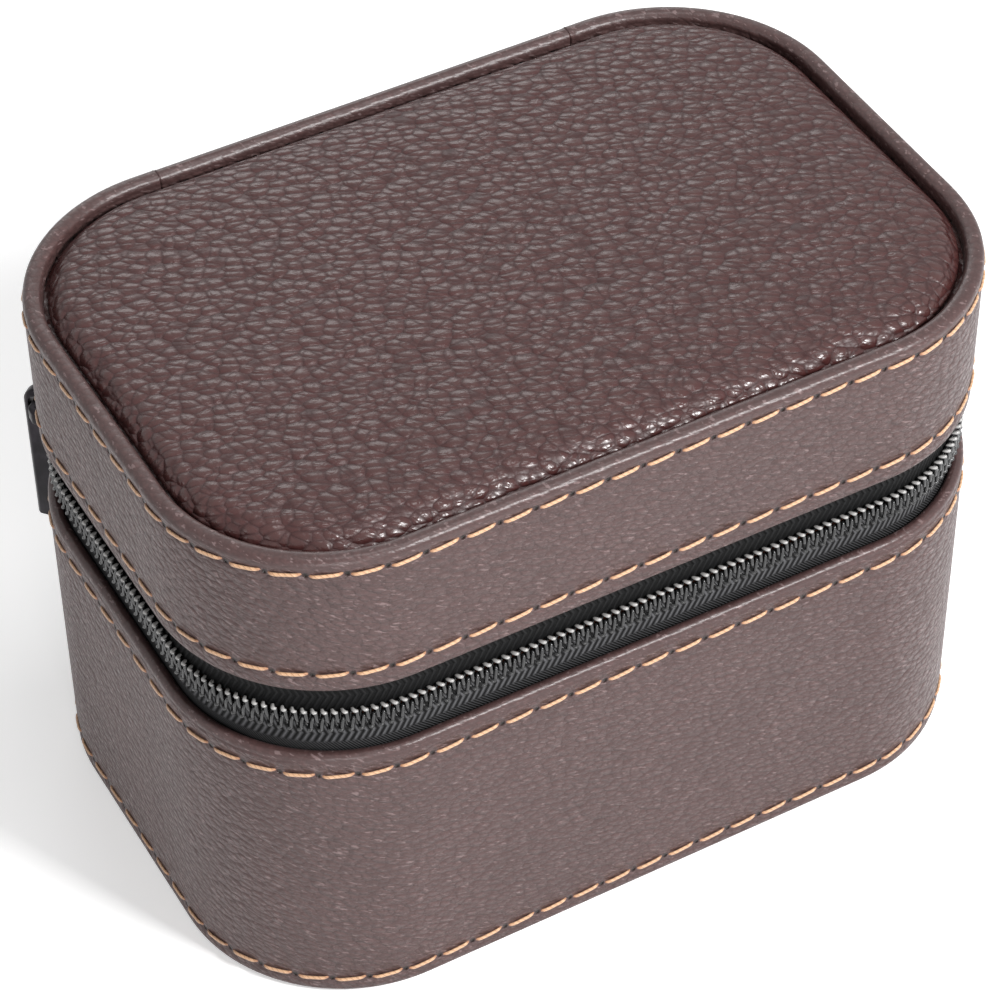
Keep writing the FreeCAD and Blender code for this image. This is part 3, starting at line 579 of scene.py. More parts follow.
def open_back(piece, half_width):
    """Cut the wall open at the back, as far as this on both sides of the middle."""
    for x in (half_width, -half_width):
        in_edit(piece)
        bpy.ops.mesh.bisect(plane_co=(x, 0.0, 0.0), plane_no=(1.0, 0.0, 0.0))
        out_of_edit()
    mesh = opened(piece)
    drop = []
    for face in mesh.faces:
        middle = face.calc_center_median()
        if middle.y > HALF_Y / 2 and -half_width < middle.x < half_width:
            drop.append(face)
    bmesh.ops.delete(mesh, geom=drop, context="FACES")
    put_back(mesh, piece)


def wall_distance(x, y):
    """Distance along the outline to a point near it, from the middle of the back by the left."""
    if y >= RUN_Y and abs(x) <= RUN_X:
        return -x if x <= 0 else OUTLINE - x
    if x < -RUN_X and y > RUN_Y:
        return RUN_X + (math.atan2(y - RUN_Y, x + RUN_X) - math.pi / 2) * CORNER
    if x <= -RUN_X and abs(y) <= RUN_Y:
        return LEFT_RUN + (RUN_Y - y)
    if x < -RUN_X and y < -RUN_Y:
        angle = math.atan2(y + RUN_Y, x + RUN_X) % (2 * math.pi)
        return LEFT_RUN + 2 * RUN_Y + (angle - math.pi) * CORNER
    if y <= -RUN_Y and abs(x) <= RUN_X:
        return FRONT_RUN + (x + RUN_X)
    if x > RUN_X and y < -RUN_Y:
        angle = math.atan2(y + RUN_Y, x - RUN_X) % (2 * math.pi)
        return FRONT_RUN + 2 * RUN_X + (angle - 1.5 * math.pi) * CORNER
    if x >= RUN_X and abs(y) <= RUN_Y:
        return RIGHT_RUN + (y + RUN_Y)
    angle = math.atan2(y - RUN_Y, x - RUN_X)
    return RIGHT_RUN + 2 * RUN_Y + angle * CORNER


def wall_point(distance):
    """Point and outward direction on the outer face, as far round as wall_distance says."""
    # Length, then start and direction of a straight run, or centre and first angle of a turn
    stretches = [
        (RUN_X, (0.0, HALF_Y), (-1.0, 0.0)),
        (QUARTER, (-RUN_X, RUN_Y), math.pi / 2),
        (2 * RUN_Y, (-HALF_X, RUN_Y), (0.0, -1.0)),
        (QUARTER, (-RUN_X, -RUN_Y), math.pi),
        (2 * RUN_X, (-RUN_X, -HALF_Y), (1.0, 0.0)),
        (QUARTER, (RUN_X, -RUN_Y), 1.5 * math.pi),
        (2 * RUN_Y, (HALF_X, -RUN_Y), (0.0, 1.0)),
        (QUARTER, (RUN_X, RUN_Y), 0.0),
        (RUN_X, (RUN_X, HALF_Y), (-1.0, 0.0)),
    ]
    for length, point, way in stretches:
        if distance <= length:
            break
        distance -= length
    if isinstance(way, tuple):
        spot = Vector((point[0] + way[0] * distance, point[1] + way[1] * distance, 0.0))
        return spot, Vector((way[1], -way[0], 0.0))
    angle = way + distance / CORNER
    outward = Vector((math.cos(angle), math.sin(angle), 0.0))
    return Vector((point[0], point[1], 0.0)) + outward * CORNER, outward


def unwrap_wall(piece):
    """UV map "Wall": distance along the wall and height, in metres."""
    mesh = piece.data
    layer = mesh.uv_layers.new(name="Wall")
    along = [wall_distance(v.co.x, v.co.y) for v in mesh.vertices]
    for face in mesh.polygons:
        values = [along[mesh.loops[index].vertex_index] for index in face.loop_indices]
        wraps = max(values) - min(values) > OUTLINE / 2
        for index, value in zip(face.loop_indices, values):
            if wraps and value < OUTLINE / 2:
                value += OUTLINE
            height = mesh.vertices[mesh.loops[index].vertex_index].co.z
            layer.data[index].uv = (value, height)


def copies(template, spots, name):
    """One mesh from many copies of a modelled template, each put at its matrix."""
    verts = np.array([v.co for v in template.data.vertices])
    faces = [tuple(p.vertices) for p in template.data.polygons]
    count = len(verts)
    all_verts = []
    all_faces = []
    for index, spot in enumerate(spots):
        turn = np.array(spot.to_3x3())
        all_verts.append(verts @ turn.T + np.array(spot.translation))
        all_faces += [tuple(v + index * count for v in face) for face in faces]
    mesh = bpy.data.meshes.new(name)
    mesh.from_pydata(np.concatenate(all_verts).tolist(), [], all_faces)
    for source in template.data.uv_layers:
        layer = mesh.uv_layers.new(name=source.name)
        values = np.empty(len(source.data) * 2, np.float32)
        source.data.foreach_get("uv", values)
        layer.data.foreach_set("uv", np.tile(values, len(spots)))
    mesh.update()
    piece = add_object(name, mesh)
    for polygon in mesh.polygons:
        polygon.use_smooth = True
    bpy.data.objects.remove(template)
    return piece


def wall_matrix(distance, height, outset):
    """A copy's place on the wall: its X along the wall, Y outward, Z up."""
    point, outward = wall_point(distance)
    tangent = Vector((-outward.y, outward.x, 0.0))
    spot = point + outward * outset + Vector((0.0, 0.0, height))
    turn = Matrix((tangent, outward, Vector((0.0, 0.0, 1.0)))).transposed().to_4x4()
    return Matrix.Translation(spot) @ turn


def settle(piece, body, slot, material, *nodes):
    """Finish, body or hinge, and slot of a piece, and the CAD nodes that it stands for; the slot
    is not used.
    """
    wear(piece, material)
    if body == "hinge":
        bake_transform(piece)
    else:
        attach(piece, body)
    if nodes:
        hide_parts(*nodes)


# Settings


class CaseColours(bpy.types.PropertyGroup):
    band: bpy.props.FloatVectorProperty(
        name="Band leather", description="Leather of the side bands", subtype="COLOR",
        default=(0.088, 0.047, 0.045), min=0.0, max=1.0,
    )
    panel: bpy.props.FloatVectorProperty(
        name="Top leather", description="Leather of the padded top", subtype="COLOR",
        default=(0.061, 0.020, 0.019), min=0.0, max=1.0,
    )
    thread: bpy.props.FloatVectorProperty(
        name="Thread", description="Sewing thread", subtype="COLOR",
        default=(0.60, 0.36, 0.205), min=0.0, max=1.0,
    )
    suede: bpy.props.FloatVectorProperty(
        name="Suede", description="Lining and pillow", subtype="COLOR",
        default=(0.165, 0.052, 0.027), min=0.0, max=1.0,
    )
    ceiling: bpy.props.FloatVectorProperty(
        name="Ceiling suede", description="Darker panel in the lid", subtype="COLOR",
        default=(0.100, 0.027, 0.0135), min=0.0, max=1.0,
    )
    zip_black: bpy.props.FloatVectorProperty(
        name="Zip", description="Tape and coil", subtype="COLOR",
        default=(0.010, 0.010, 0.0105), min=0.0, max=1.0,
    )
    metal: bpy.props.FloatVectorProperty(
        name="Slider", description="Slider and puller", subtype="COLOR",
        default=(0.016, 0.014, 0.017), min=0.0, max=1.0,
    )


class CaseSizes(bpy.types.PropertyGroup):
    stitch_length: bpy.props.FloatProperty(
        name="Stitch length", description="Thread seen between two holes", unit="LENGTH",
        default=4.45 * MM,
    )
    thread_width: bpy.props.FloatProperty(
        name="Thread width", description="Thickness of the sewing thread", unit="LENGTH",
        default=0.52 * MM,
    )
    tooth_pitch: bpy.props.FloatProperty(
        name="Tooth pitch", description="Distance between teeth of one coil", unit="LENGTH",
        default=1.333 * MM,
    )


def colours():
    return bpy.context.scene.case_colours


def sizes():
    return bpy.context.scene.case_sizes


MATERIALS = {}
GREYBOARD = (0.085, 0.070, 0.056)
DARK_FOAM = (0.055, 0.048, 0.044)


def finish_of(word):
    """Each material is made once, when it is first needed."""
    if word not in MATERIALS:
        c = colours()
        makers = {
            "band": lambda: band_leather(c.band, list(ROWS.values())),
            "panel": lambda: panel_leather(c.panel),
            "suede": lambda: suede("suede", c.suede, 0.25),
            "ceiling": lambda: suede("ceiling_suede", c.ceiling, 0.9),
            "tape": lambda: zip_cloth(c.zip_black),
            "coil": lambda: coil_plastic(c.zip_black),
            "metal": lambda: black_metal(c.metal),
            "thread": lambda: thread(c.thread),
            "board": lambda: plain_inner("greyboard", GREYBOARD, 0.2, 700.0),
            "foam": lambda: plain_inner("foam", DARK_FOAM, 0.12, 1800.0),
        }
        MATERIALS[word] = makers[word]()
    return MATERIALS[word]


class CASE_OT_bands(bpy.types.Operator):
    """Leather bands of base and lid, with turned hems and rolled edges"""

    bl_idname = "case.bands"
    bl_label = "Leather bands"

    seam = 0.05 * MM
    hem = 1.8 * MM
    rim_hem = 2.5 * MM
    edge_roll = 0.85 * MM
    rim_roll = 1.2 * MM

    def execute(self, context):
        levels = [FOOT, FOOT + 1.2 * MM, ROWS["base_lower"], FOOT + 4.6 * MM, 0.015, 0.025, 0.035]
        levels += [BASE_EDGE - 5.2 * MM, ROWS["base_upper"], BASE_EDGE - 1.8 * MM, BASE_EDGE]
        self.band("base_band", levels, self.hem, self.edge_roll, "base", "base_band_leather")
        levels = [LID_EDGE, LID_EDGE + 1.8 * MM, ROWS["lid_lower"], LID_EDGE + 5.2 * MM, 0.070]
        levels += [RIM - 4.2 * MM, ROWS["lid_upper"], RIM - 1.2 * MM, RIM]
        self.band("lid_band", levels, self.rim_hem, self.rim_roll, "lid", "lid_band_leather")
        return {"FINISHED"}

    def band(self, name, levels, thickness, roll, body, node):
        piece = wall_sheet(name, 0.0, levels)
        open_back(piece, SPINE_HALF + self.seam)
        self.dent(piece)
        apply_modifier(piece, "SOLIDIFY", thickness=thickness, offset=-1.0, use_even_offset=True)
        roll_edges(piece, roll, self.at_seam)
        smooth(piece, 50.0)
        unwrap_wall(piece)
        settle(piece, body, "leather", finish_of("band"), node)

    def at_seam(self, edge):
        end = SPINE_HALF + self.seam + 0.1 * MM
        return all(v.co.y > 0.0 and abs(v.co.x) < end for v in edge.verts)

    def dent(self, piece):
        """The stitch rows pull the leather in a little."""
        pull = 0.14 * MM
        for vertex in piece.data.vertices:
            along = wall_distance(vertex.co.x, vertex.co.y)
            for level in ROWS.values():
                if abs(vertex.co.z - level) < 0.2 * MM:
                    vertex.co -= wall_point(along)[1] * pull


class CASE_OT_spine(bpy.types.Operator):
    """Leather spine over the hinge, the suede strip behind it and the two tape gussets"""

    bl_idname = "case.spine"
    bl_label = "Hinge spine"

    leather = 1.1 * MM
    suede = 0.5 * MM
    suede_gap = 0.15 * MM
    turn_in_depth = 7.0 * MM
    turn_in_thickness = 2.5 * MM
    gusset_reach = 1.9 * MM

    def execute(self, context):
        spine = self.strip("hinge_spine", SPINE_HALF, HALF_Y, self.leather, FOOT, RIM)
        self.fold_in_top(spine)
        self.finish(spine, 1.2 * MM, "leather", "band", "hinge_leather")
        low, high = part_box("hinge_lining")
        half_width = SPINE_HALF - self.suede_gap
        strip = self.strip("hinge_suede", half_width, high[1], self.suede, low[2], high[2])
        self.finish(strip, 0.3 * MM, "suede", "suede", "hinge_lining")
        self.gusset("left")
        self.gusset("right")
        return {"FINISHED"}

    def gusset(self, word):
        """Black tape beside the hinge, carried on almost to the end of the zip tape."""
        node = "zip_gusset_" + word
        low, high = [list(corner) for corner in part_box(node)]
        reach = SPINE_HALF + self.gusset_reach
        if word == "left":
            low[0] = -reach
        else:
            high[0] = reach
        deselect()
        bpy.ops.mesh.primitive_cube_add(size=1.0)
        piece = bpy.context.object
        piece.name = "gusset_" + word
        piece.scale = [high[k] - low[k] for k in range(3)]
        piece.location = [(high[k] + low[k]) / 2 for k in range(3)]
        freeze()
        in_edit(piece)
        bpy.ops.mesh.subdivide(number_cuts=11)
        out_of_edit()
        smooth(piece)
        unwrap_wall(piece)
        settle(piece, "hinge", "zip_tape", finish_of("tape"), node)

    def strip(self, name, half_width, back, thickness, low, high):
        """An upright sheet at the back, cut into fine steps."""
        deselect()
        bpy.ops.mesh.primitive_plane_add(size=1.0)
        piece = bpy.context.object
        piece.name = name
        piece.scale = (2 * half_width, high - low, 1.0)
        freeze()
        piece.rotation_euler = (math.radians(90), 0.0, math.radians(180))
        piece.location = (0.0, back, (low + high) / 2)
        freeze()
        in_edit(piece)
        bpy.ops.mesh.subdivide(number_cuts=63)
        bpy.ops.mesh.normals_make_consistent(inside=False)
        out_of_edit()
        apply_modifier(piece, "SOLIDIFY", thickness=thickness, offset=-1.0)
        # A flat sheet may be taken to face either way; its outer face belongs at the back
        middle = sum(v.co.y for v in piece.data.vertices) / len(piece.data.vertices)
        if middle > back:
            for vertex in piece.data.vertices:
                vertex.co.y -= thickness
        return piece

    def fold_in_top(self, piece):
        """Near the rim the spine is as thick as the band's hem beside it."""
        for vertex in piece.data.vertices:
            inner = vertex.co.y < HALF_Y - self.leather / 2
            if inner and vertex.co.z > RIM - self.turn_in_depth:
                vertex.co.y = HALF_Y - self.turn_in_thickness

    def finish(self, piece, roll, slot, word, node):
        top = RIM - 0.01 * MM
        side = max(v.co.x for v in piece.data.vertices) - 0.01 * MM

        def at_seam(edge):
            across = min(abs(v.co.x) for v in edge.verts)
            return min(v.co.z for v in edge.verts) < top or across > side

        roll_edges(piece, roll, at_seam)
        smooth(piece, 50.0)
        unwrap_wall(piece)
        settle(piece, "hinge", slot, finish_of(word), node)


class CASE_OT_stitches(bpy.types.Operator):
    """Four rows of thread, each stitch dipping into its needle holes"""

    bl_idname = "case.stitches"
    bl_label = "Stitch rows"

    def execute(self, context):
        for row, level in ROWS.items():
            self.row("stitches_" + row, level, row.split("_")[0])
        self.spine_rows()
        return {"FINISHED"}

    def row(self, name, level, body):
        gap = SPINE_HALF + sizes().stitch_length / 2
        spots = []
        for number in range(int(OUTLINE / STITCH_PITCH)):
            distance = number * STITCH_PITCH
            if gap <= distance <= OUTLINE - gap:
                spots.append(wall_matrix(distance, level, 0.0))
        piece = copies(self.stitch(), spots, name)
        settle(piece, body, "leather", finish_of("thread"))

    def spine_rows(self):
        """The same rows carried on across the spine."""
        last = int((SPINE_HALF - sizes().stitch_length / 2) / STITCH_PITCH)
        spots = []
        for level in ROWS.values():
            for number in range(-last, last + 1):
                spots.append(wall_matrix((number * STITCH_PITCH) % OUTLINE, level, 0.0))
        piece = copies(self.stitch(), spots, "stitches_spine")
        settle(piece, "hinge", "leather", finish_of("thread"))

    def stitch(self):
        """One stitch, along X: a twisted thread that bows outward and dives at both ends."""
        length = sizes().stitch_length
        width = sizes().thread_width
        twist = 0.75 * MM
        dive = 0.55 * MM
        slant = 0.2 * MM
        flatness = 0.78
        deselect()
        bpy.ops.mesh.primitive_cylinder_add(
            vertices=10, radius=width / 2, depth=length,
            end_fill_type="NGON", rotation=(0.0, math.pi / 2, 0.0),
        )
        piece = bpy.context.object
        freeze()
        mesh = opened(piece)
        long_edges = [e for e in mesh.edges if e.calc_length() > length / 2]
        bmesh.ops.subdivide_edges(mesh, edges=long_edges, cuts=13, use_grid_fill=True)
        layer = mesh.loops.layers.uv.new("Twist")
        for face in mesh.faces:
            middle = face.calc_center_median()
            base_angle = math.atan2(middle.z, middle.y)
            for loop in face.loops:
                angle = math.atan2(loop.vert.co.z, loop.vert.co.y)
                while angle - base_angle > math.pi:
                    angle -= 2 * math.pi
                while base_angle - angle > math.pi:
                    angle += 2 * math.pi
                loop[layer].uv = (loop.vert.co.x / twist, angle / math.pi)
        for vert in mesh.verts:
            share = vert.co.x / (length / 2)
            slim = 1.0 - 0.45 * abs(share) ** 6
            vert.co.y = vert.co.y * slim * flatness
            vert.co.z = vert.co.z * slim
            vert.co.y += width * 0.12 - dive * abs(share) ** 5
            vert.co.z += slant * share
        put_back(mesh, piece)
        return piece


class CASE_OT_zip(bpy.types.Operator):
    """Zip tapes and the two coils of monofilament"""

    bl_idname = "case.zip"
    bl_label = "Zip"

    def execute(self, context):
        for word, body in (("lower", "base"), ("upper", "lid")):
            low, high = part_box("zip_tape_" + word)
            self.tape(word, body, low[2], high[2])
            self.coil(word, body)
        return {"FINISHED"}

    def tape(self, word, body, low, high):
        cloth = 0.6 * MM
        levels = [low + (high - low) * share for share in (0.0, 0.2, 0.4, 0.6, 0.8, 1.0)]
        piece = wall_sheet("zip_tape_cloth_" + word, TAPE_FACE, levels)
        open_back(piece, SPINE_HALF + ZIP_MARGIN)
        apply_modifier(piece, "SOLIDIFY", thickness=cloth, offset=-1.0, use_even_offset=True)
        smooth(piece, 40.0)
        unwrap_wall(piece)
        nodes = ["zip_tape_" + word]
        if word == "upper":
            nodes.append("zip_tape_upper_corner")
        settle(piece, body, "zip_tape", finish_of("tape"), *nodes)

    def tooth(self, side):
        """One turn of the coil: a loop of filament, across the tape and back, with a flat head."""
        reach = 1.35
        lap = 0.42
        # Along the wall, toward the other coil, and outward, in millimetres
        points = [
            (-0.3, -reach, 0.3), (-0.24, -reach * 0.5, 0.36), (-0.12, lap * 0.5, 0.3),
            (0.0, lap, 0.02), (0.12, lap * 0.5, -0.3), (0.22, -reach * 0.5, -0.36),
            (0.36, -reach, -0.3), (0.5, -reach - 0.2, 0.0), (0.68, -reach - 0.3, 0.45),
            (0.9, -reach - 0.25, 0.5), (1.03, -reach, 0.3),
        ]
        curve = bpy.data.curves.new("turn", "CURVE")
        curve.dimensions = "3D"
        curve.bevel_depth = 0.27 * MM
        curve.bevel_resolution = 1
        curve.resolution_u = 2
        curve.use_fill_caps = True
        spline = curve.splines.new("NURBS")
        spline.points.add(len(points) - 1)
        for spot, (x, z, y) in zip(spline.points, points):
            spot.co = (x * MM, y * MM, -side * z * MM, 1.0)
        spline.order_u = 3
        spline.use_endpoint_u = True
        pick(add_object("turn", curve))
        bpy.ops.object.convert(target="MESH")
        return bpy.context.object

    def coil(self, word, body):
        """Past the parked slider the two coils interleave; behind it they stand apart."""
        side = -1.0 if word == "lower" else 1.0
        shift = 0.25 if word == "lower" else 0.75
        pitch = sizes().tooth_pitch
        outset = 0.62 * MM - TAPE_FACE
        apart = 1.2 * MM
        start = SPINE_HALF + ZIP_MARGIN
        stop_room = 2.4 * MM
        parked = RUN_X + math.radians(42.0) * CORNER
        first = parked - math.radians(17.0) * CORNER
        run = []
        corner = []
        for number in range(int((OUTLINE - 2 * start) / pitch)):
            distance = start + (number + shift) * pitch
            if first <= distance <= OUTLINE - start - stop_room:
                lift = apart if distance < parked else 0.0
                spot = wall_matrix(distance, ZIP_MID + side * lift, outset)
                (corner if distance < LEFT_RUN else run).append(spot)
        for spots, ending in ((run, ""), (corner, "_corner")):
            piece = copies(self.tooth(side), spots, "coil_turns_" + word + ending)
            node = "zip_coil_" + word + ending
            settle(piece, body, "zip_coil", finish_of("coil"), node)


class CASE_OT_top_panel(bpy.types.Operator):
    """Padded leather panel on the lid, with rolled shoulders and a low crown"""

    bl_idname = "case.top_panel"
    bl_label = "Top panel"

    spots = 240
    # Share of the height and inset in millimetres of each loop, from the glued edge inward
    loops = (
        (0.0, -0.3), (0.06, -0.3), (0.1, 0.45), (0.22, 0.35), (0.32, 0.45), (0.4, 0.7),
        (0.56, 1.25), (0.72, 1.85), (0.8, 2.4), (0.865, 3.3), (0.92, 4.8), (0.96, 7.0),
        (0.985, 10.0), (1.0, 14.0),
    )
    # The flat middle is the last loop, shrunk
    shrinks = (0.86, 0.7, 0.54, 0.38, 0.22, 0.08)

    def execute(self, context):
        rise = PANEL_HIGH - PANEL_LOW
        rings = []
        for share, inset in self.loops:
            rings.append(self.ring(PANEL_INSET + inset * MM, PANEL_LOW + share * rise))
        rings += [[(x * scale, y * scale, z) for x, y, z in rings[-1]] for scale in self.shrinks]
        verts = [spot for ring in rings for spot in ring]
        faces = []
        for start in range(0, len(verts) - self.spots, self.spots):
            for k in range(self.spots):
                near = start + k
                far = start + (k + 1) % self.spots
                faces.append((near, near + self.spots, far + self.spots, far))
        faces.append(tuple(range(self.spots)))
        faces.append(tuple(reversed(range(len(verts) - self.spots, len(verts)))))
        mesh = bpy.data.meshes.new("top_panel")
        mesh.from_pydata(verts, [], faces)
        piece = add_object("top_panel", mesh)
        in_edit(piece, "FACE")
        face_outwards()
        out_of_edit()
        smooth(piece, 60.0)
        settle(piece, "lid", "top_leather", finish_of("panel"), "lid_top_leather")
        return {"FINISHED"}

    def ring(self, inset, height):
        """Points of the case's outline moved inward, evenly spaced along the outer face."""
        ring = []
        for k in range(self.spots):
            point, outward = wall_point(OUTLINE * k / self.spots)
            spot = point - outward * inset
            ring.append((spot.x, spot.y, height))
        return ring


class CASE_OT_linings(bpy.types.Operator):
    """Suede wall linings, floor and ceiling"""

    bl_idname = "case.linings"
    bl_label = "Linings"

    def execute(self, context):
        self.wall("base")
        self.wall("lid")
        self.plate("floor_suede", "base_floor_lining", "base", "suede", "suede")
        self.plate("ceiling_suede_panel", "lid_ceiling_lining", "lid", "ceiling_suede", "ceiling")
        self.plate("bottom_leather", "base_bottom_leather", "base", "leather", "band")
        return {"FINISHED"}

    def wall(self, body):
        """Lining and foam of one half, as one padded wall."""
        padding = 6.0 * MM
        node = body + "_wall_lining"
        low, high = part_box(node)
        levels = [low[2] + (high[2] - low[2]) * share for share in (0.0, 0.33, 0.66, 1.0)]
        piece = wall_sheet(body + "_wall_suede", HALF_X - high[0], levels)
        apply_modifier(piece, "SOLIDIFY", thickness=padding, offset=-1.0, use_even_offset=True)
        round_sharp(piece, 1.6 * MM, 5)
        smooth(piece, 50.0)
        settle(piece, body, "suede", finish_of("suede"), node, body + "_wall_foam")

    def plate(self, name, node, body, slot, word):
        low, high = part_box(node)
        thickness = high[2] - low[2]
        piece = rounded_sheet(name, HALF_X - high[0], low[2])
        in_edit(piece, "FACE")
        raise_by(thickness)
        face_outwards()
        out_of_edit()
        round_sharp(piece, 0.35 * thickness, 3)
        smooth(piece, 50.0)
        unwrap_wall(piece)
        settle(piece, body, slot, finish_of(word), node)


class CASE_OT_pillow(bpy.types.Operator):
    """Suede watch pillow, puffed by a short cloth simulation"""

    bl_idname = "case.pillow"
    bl_label = "Watch pillow"

    def execute(self, context):
        low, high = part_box("pillow_cover")
        # Room on each side for the cloth to puff out
        room = 1.2 * MM
        middle = [(low[k] + high[k]) / 2 for k in range(3)]
        size = [high[k] - low[k] - 2 * room for k in range(3)]
        deselect()
        bpy.ops.mesh.primitive_cube_add(size=1.0, location=middle)
        piece = bpy.context.object
        piece.name = "pillow_suede"
        piece.data.name = "pillow_suede"
        piece.scale = size
        freeze()
        self.round_long_edges(piece, size[1], middle[2])
        round_sharp(piece, 2.0 * MM, 3)
        apply_modifier(piece, "REMESH", mode="VOXEL", voxel_size=4.0 * MM, use_smooth_shade=True)
        self.puff(piece, low, high)
        apply_modifier(piece, "SUBSURF", levels=1, render_levels=1)
        smooth(piece, 60.0)
        settle(piece, "pillow", "suede", finish_of("suede"), "pillow_cover")
        return {"FINISHED"}

    def round_long_edges(self, piece, length, middle):
        """A loaf, rounder above than below."""
        mesh = opened(piece)
        long_edges = []
        for edge in mesh.edges:
            if abs((edge.verts[0].co - edge.verts[1].co).y) > length / 2:
                long_edges.append(edge)
        upper = [e for e in long_edges if e.verts[0].co.z > middle]
        under = [e for e in long_edges if e not in upper]
        for edges, radius, segments in ((upper, 15.0 * MM, 10), (under, 9.0 * MM, 8)):
            edges = [e for e in edges if e.is_valid]
            bmesh.ops.bevel(
                mesh, geom=edges, offset=radius, segments=segments, affect="EDGES", profile=0.5
            )
        put_back(mesh, piece)

    def puff(self, piece, low, high):
        """Cloth with a little pressure; no point leaves the CAD solid's box."""
        frames = 20
        furthest = 2.5 * MM
        before = [v.co.copy() for v in piece.data.vertices]
        cloth = piece.modifiers.new("Cloth", "CLOTH")
        cloth.settings.use_pressure = True
        cloth.settings.uniform_pressure_force = 4.0
        cloth.settings.effector_weights.gravity = 0.0
        cloth.settings.quality = 5
        cloth.point_cache.frame_start = 1
        cloth.point_cache.frame_end = frames
        for number in range(1, frames + 1):
            bpy.context.scene.frame_set(number)
        pick(piece)
        bpy.ops.object.modifier_apply(modifier=cloth.name)
        bpy.context.scene.frame_set(1)
        for vertex, start in zip(piece.data.vertices, before):
            move = vertex.co - start
            if move.length > furthest:
                vertex.co = start + move.normalized() * furthest
            for axis in range(3):
                vertex.co[axis] = min(max(vertex.co[axis], low[axis]), high[axis])


class CASE_OT_slider(bpy.types.Operator):
    """Slider, bridge and puller: the CAD shapes with eased edges"""

    bl_idname = "case.slider"
    bl_label = "Slider and puller"

    def execute(self, context):
        for node, name, body, roll in (
            ("slider_body", "slider", "slider", 0.18 * MM),
            ("slider_bridge", "slider_bridge_strap", "slider", 0.22 * MM),
            ("pull_tab", "puller_bar", "puller", 0.3 * MM),
        ):
            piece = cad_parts[node].copy()
            piece.data = piece.data.copy()
            piece.name = name
            for key in [k for k in piece.keys() if k.startswith("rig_")]:
                del piece[key]
            piece.parent = None
            bpy.context.scene.collection.objects.link(piece)
            piece.hide_render = False
            piece.hide_viewport = False
            in_edit(piece)
            bpy.ops.mesh.remove_doubles(threshold=0.005 * MM)
            bpy.ops.mesh.dissolve_limited(angle_limit=math.radians(4))
            out_of_edit()
            round_sharp(piece, roll, 3, 40.0)
            apply_modifier(piece, "TRIANGULATE")
            smooth(piece, 40.0)
            settle(piece, body, "black_metal", finish_of("metal"), node)
        return {"FINISHED"}


class CASE_OT_inner_pieces(bpy.types.Operator):
    """Boards, foams and end stops keep their CAD shape and get their own finish"""

    bl_idname = "case.inner_pieces"
    bl_label = "Inner pieces"

    def execute(self, context):
        words = {
            "board": ["base_floor_board", "base_wall_board", "lid_wall_board", "lid_top_board"],
            "foam": ["lid_top_foam", "pillow_foam"],
            "metal": ["zip_end_stops"],
        }
        for word, nodes in words.items():
            for node in nodes:
                wear(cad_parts[node], finish_of(word))
        return {"FINISHED"}


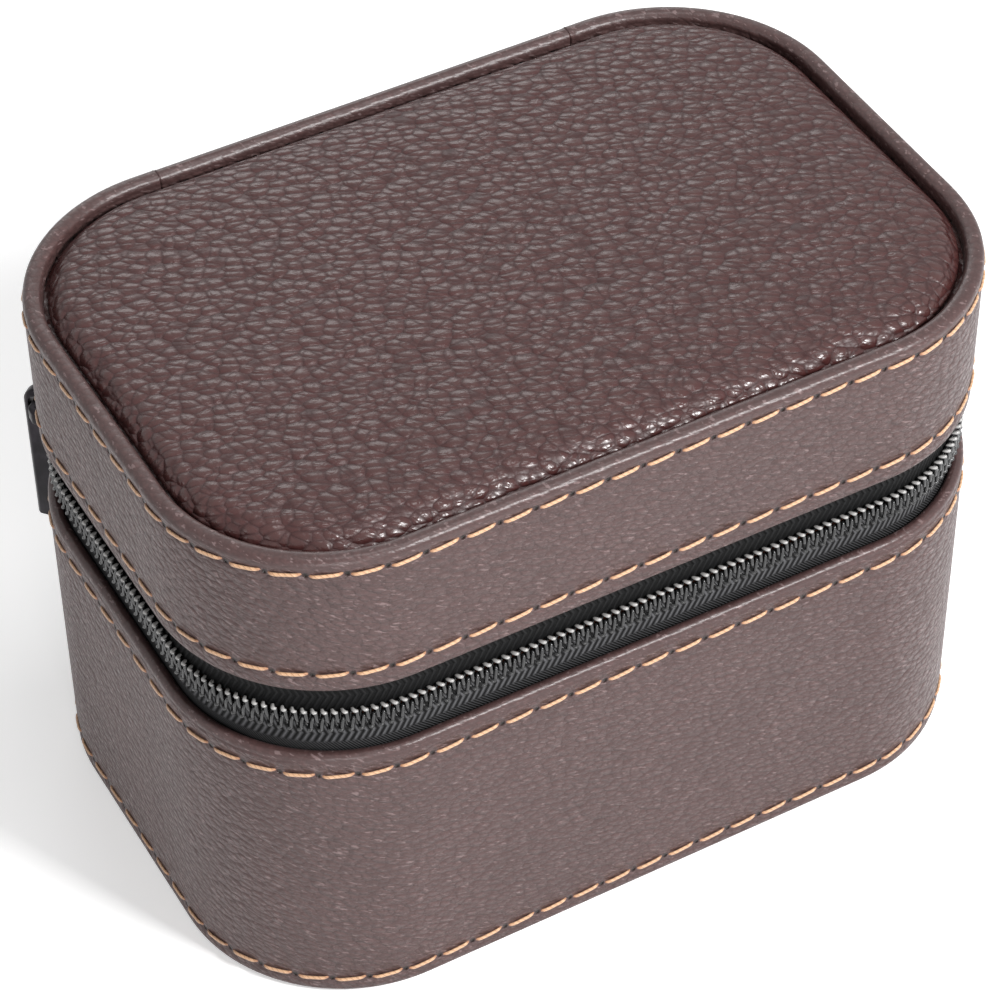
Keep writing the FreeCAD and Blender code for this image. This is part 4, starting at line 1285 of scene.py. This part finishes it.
class CASE_OT_stage(bpy.types.Operator):
    """Pale floor, soft studio light and the camera"""

    bl_idname = "case.stage"
    bl_label = "Stage"

    def execute(self, context):
        self.floor()
        self.lights()
        self.camera()
        context.scene.view_settings.view_transform = "Standard"
        return {"FINISHED"}

    def floor(self):
        deselect()
        bpy.ops.mesh.primitive_plane_add(size=30.0, location=(0.0, 0.0, 0.0))
        floor = bpy.context.object
        floor.name = "floor"
        g = Graph("pale_floor")
        g.fixed(roughness=0.9, specular_ior_level=0.1)
        g.fixed(base_color=(0.92, 0.92, 0.92, 1.0), emission_strength=0.4)
        glow = g.mix(g.seen(), (0.0, 0.0, 0.0, 1.0), (1.0, 1.0, 1.0, 1.0))
        g.feed(g.shader.inputs["Emission Color"], glow)
        wear(floor, g.owner)

    def lights(self):
        g = Graph("soft_room", world=True)
        bpy.context.scene.world = g.owner
        g.feed(g.shader.inputs["Color"], (1.0, 1.0, 1.0, 1.0))
        # Fully bright where it is seen, dim as light on the case
        g.feed(g.shader.inputs["Strength"], g.seen() * 0.78 + 0.22)
        # Name, place, side and power of each
        lamps = [
            ("over", (0.12, -0.04, 0.88), 0.30, 1.7),
            ("key", (0.29, -0.58, 0.60), 0.18, 8.0),
            ("back", (0.30, 0.80, 0.42), 0.42, 1.0),
            ("front", (-0.32, -0.77, 0.24), 0.30, 2.6),
            ("left", (-0.70, 0.05, 0.35), 0.25, 0.35),
        ]
        middle = Vector((0.0, 0.0, 0.04))
        for name, place, size, power in lamps:
            data = bpy.data.lights.new(name, "AREA")
            data.shape = "SQUARE"
            data.size = size
            data.energy = power
            lamp = add_object(name, data)
            lamp.location = place
            aim = middle - Vector(place)
            lamp.rotation_euler = aim.to_track_quat("-Z", "Y").to_euler()

    def camera(self):
        """The photograph's view, as fitted to the case's edges."""
        place = Vector((-0.17386, -0.31569, 0.38981))
        azimuth = math.radians(28.68)
        elevation = math.radians(44.26)
        roll = math.radians(-0.75)
        level = math.cos(elevation)
        forward = Vector(
            (math.sin(azimuth) * level, math.cos(azimuth) * level, -math.sin(elevation))
        )
        right = Vector((math.cos(azimuth), -math.sin(azimuth), 0.0))
        up = right.cross(forward)
        turned_right = right * math.cos(roll) + up * math.sin(roll)
        turned_up = up * math.cos(roll) - right * math.sin(roll)
        data = bpy.data.cameras.new("camera")
        data.sensor_fit = "HORIZONTAL"
        data.sensor_width = 36.0
        data.lens = 131.5
        data.clip_start = 0.01
        camera = add_object("camera", data)
        turn = Matrix((turned_right, turned_up, -forward)).transposed().to_4x4()
        camera.matrix_world = Matrix.Translation(place) @ turn
        bpy.context.scene.camera = camera


class CASE_PT_panel(bpy.types.Panel):
    bl_label = "Watch Case"
    bl_idname = "CASE_PT_panel"
    bl_space_type = "VIEW_3D"
    bl_region_type = "UI"
    bl_category = "Watch Case"

    def draw(self, context):
        layout = self.layout
        for group in (context.scene.case_colours, context.scene.case_sizes):
            for word in group.__annotations__:
                layout.prop(group, word)
        for step in STEPS:
            layout.operator(step.bl_idname)


STEPS = [
    CASE_OT_stage, CASE_OT_bands, CASE_OT_spine, CASE_OT_stitches, CASE_OT_zip, CASE_OT_top_panel,
    CASE_OT_linings, CASE_OT_pillow, CASE_OT_slider, CASE_OT_inner_pieces,
]
CLASSES = [CaseColours, CaseSizes] + STEPS + [CASE_PT_panel]


def register():
    for group in CLASSES:
        bpy.utils.register_class(group)
    bpy.types.Scene.case_colours = bpy.props.PointerProperty(type=CaseColours)
    bpy.types.Scene.case_sizes = bpy.props.PointerProperty(type=CaseSizes)


def unregister():
    del bpy.types.Scene.case_colours
    del bpy.types.Scene.case_sizes
    for group in reversed(CLASSES):
        bpy.utils.unregister_class(group)


def main():
    register()
    bpy.ops.case.stage()
    bpy.ops.case.bands()
    bpy.ops.case.spine()
    bpy.ops.case.stitches()
    bpy.ops.case.zip()
    bpy.ops.case.top_panel()
    bpy.ops.case.linings()
    bpy.ops.case.pillow()
    bpy.ops.case.slider()
    bpy.ops.case.inner_pieces()


if __name__ == "__main__":
    main()
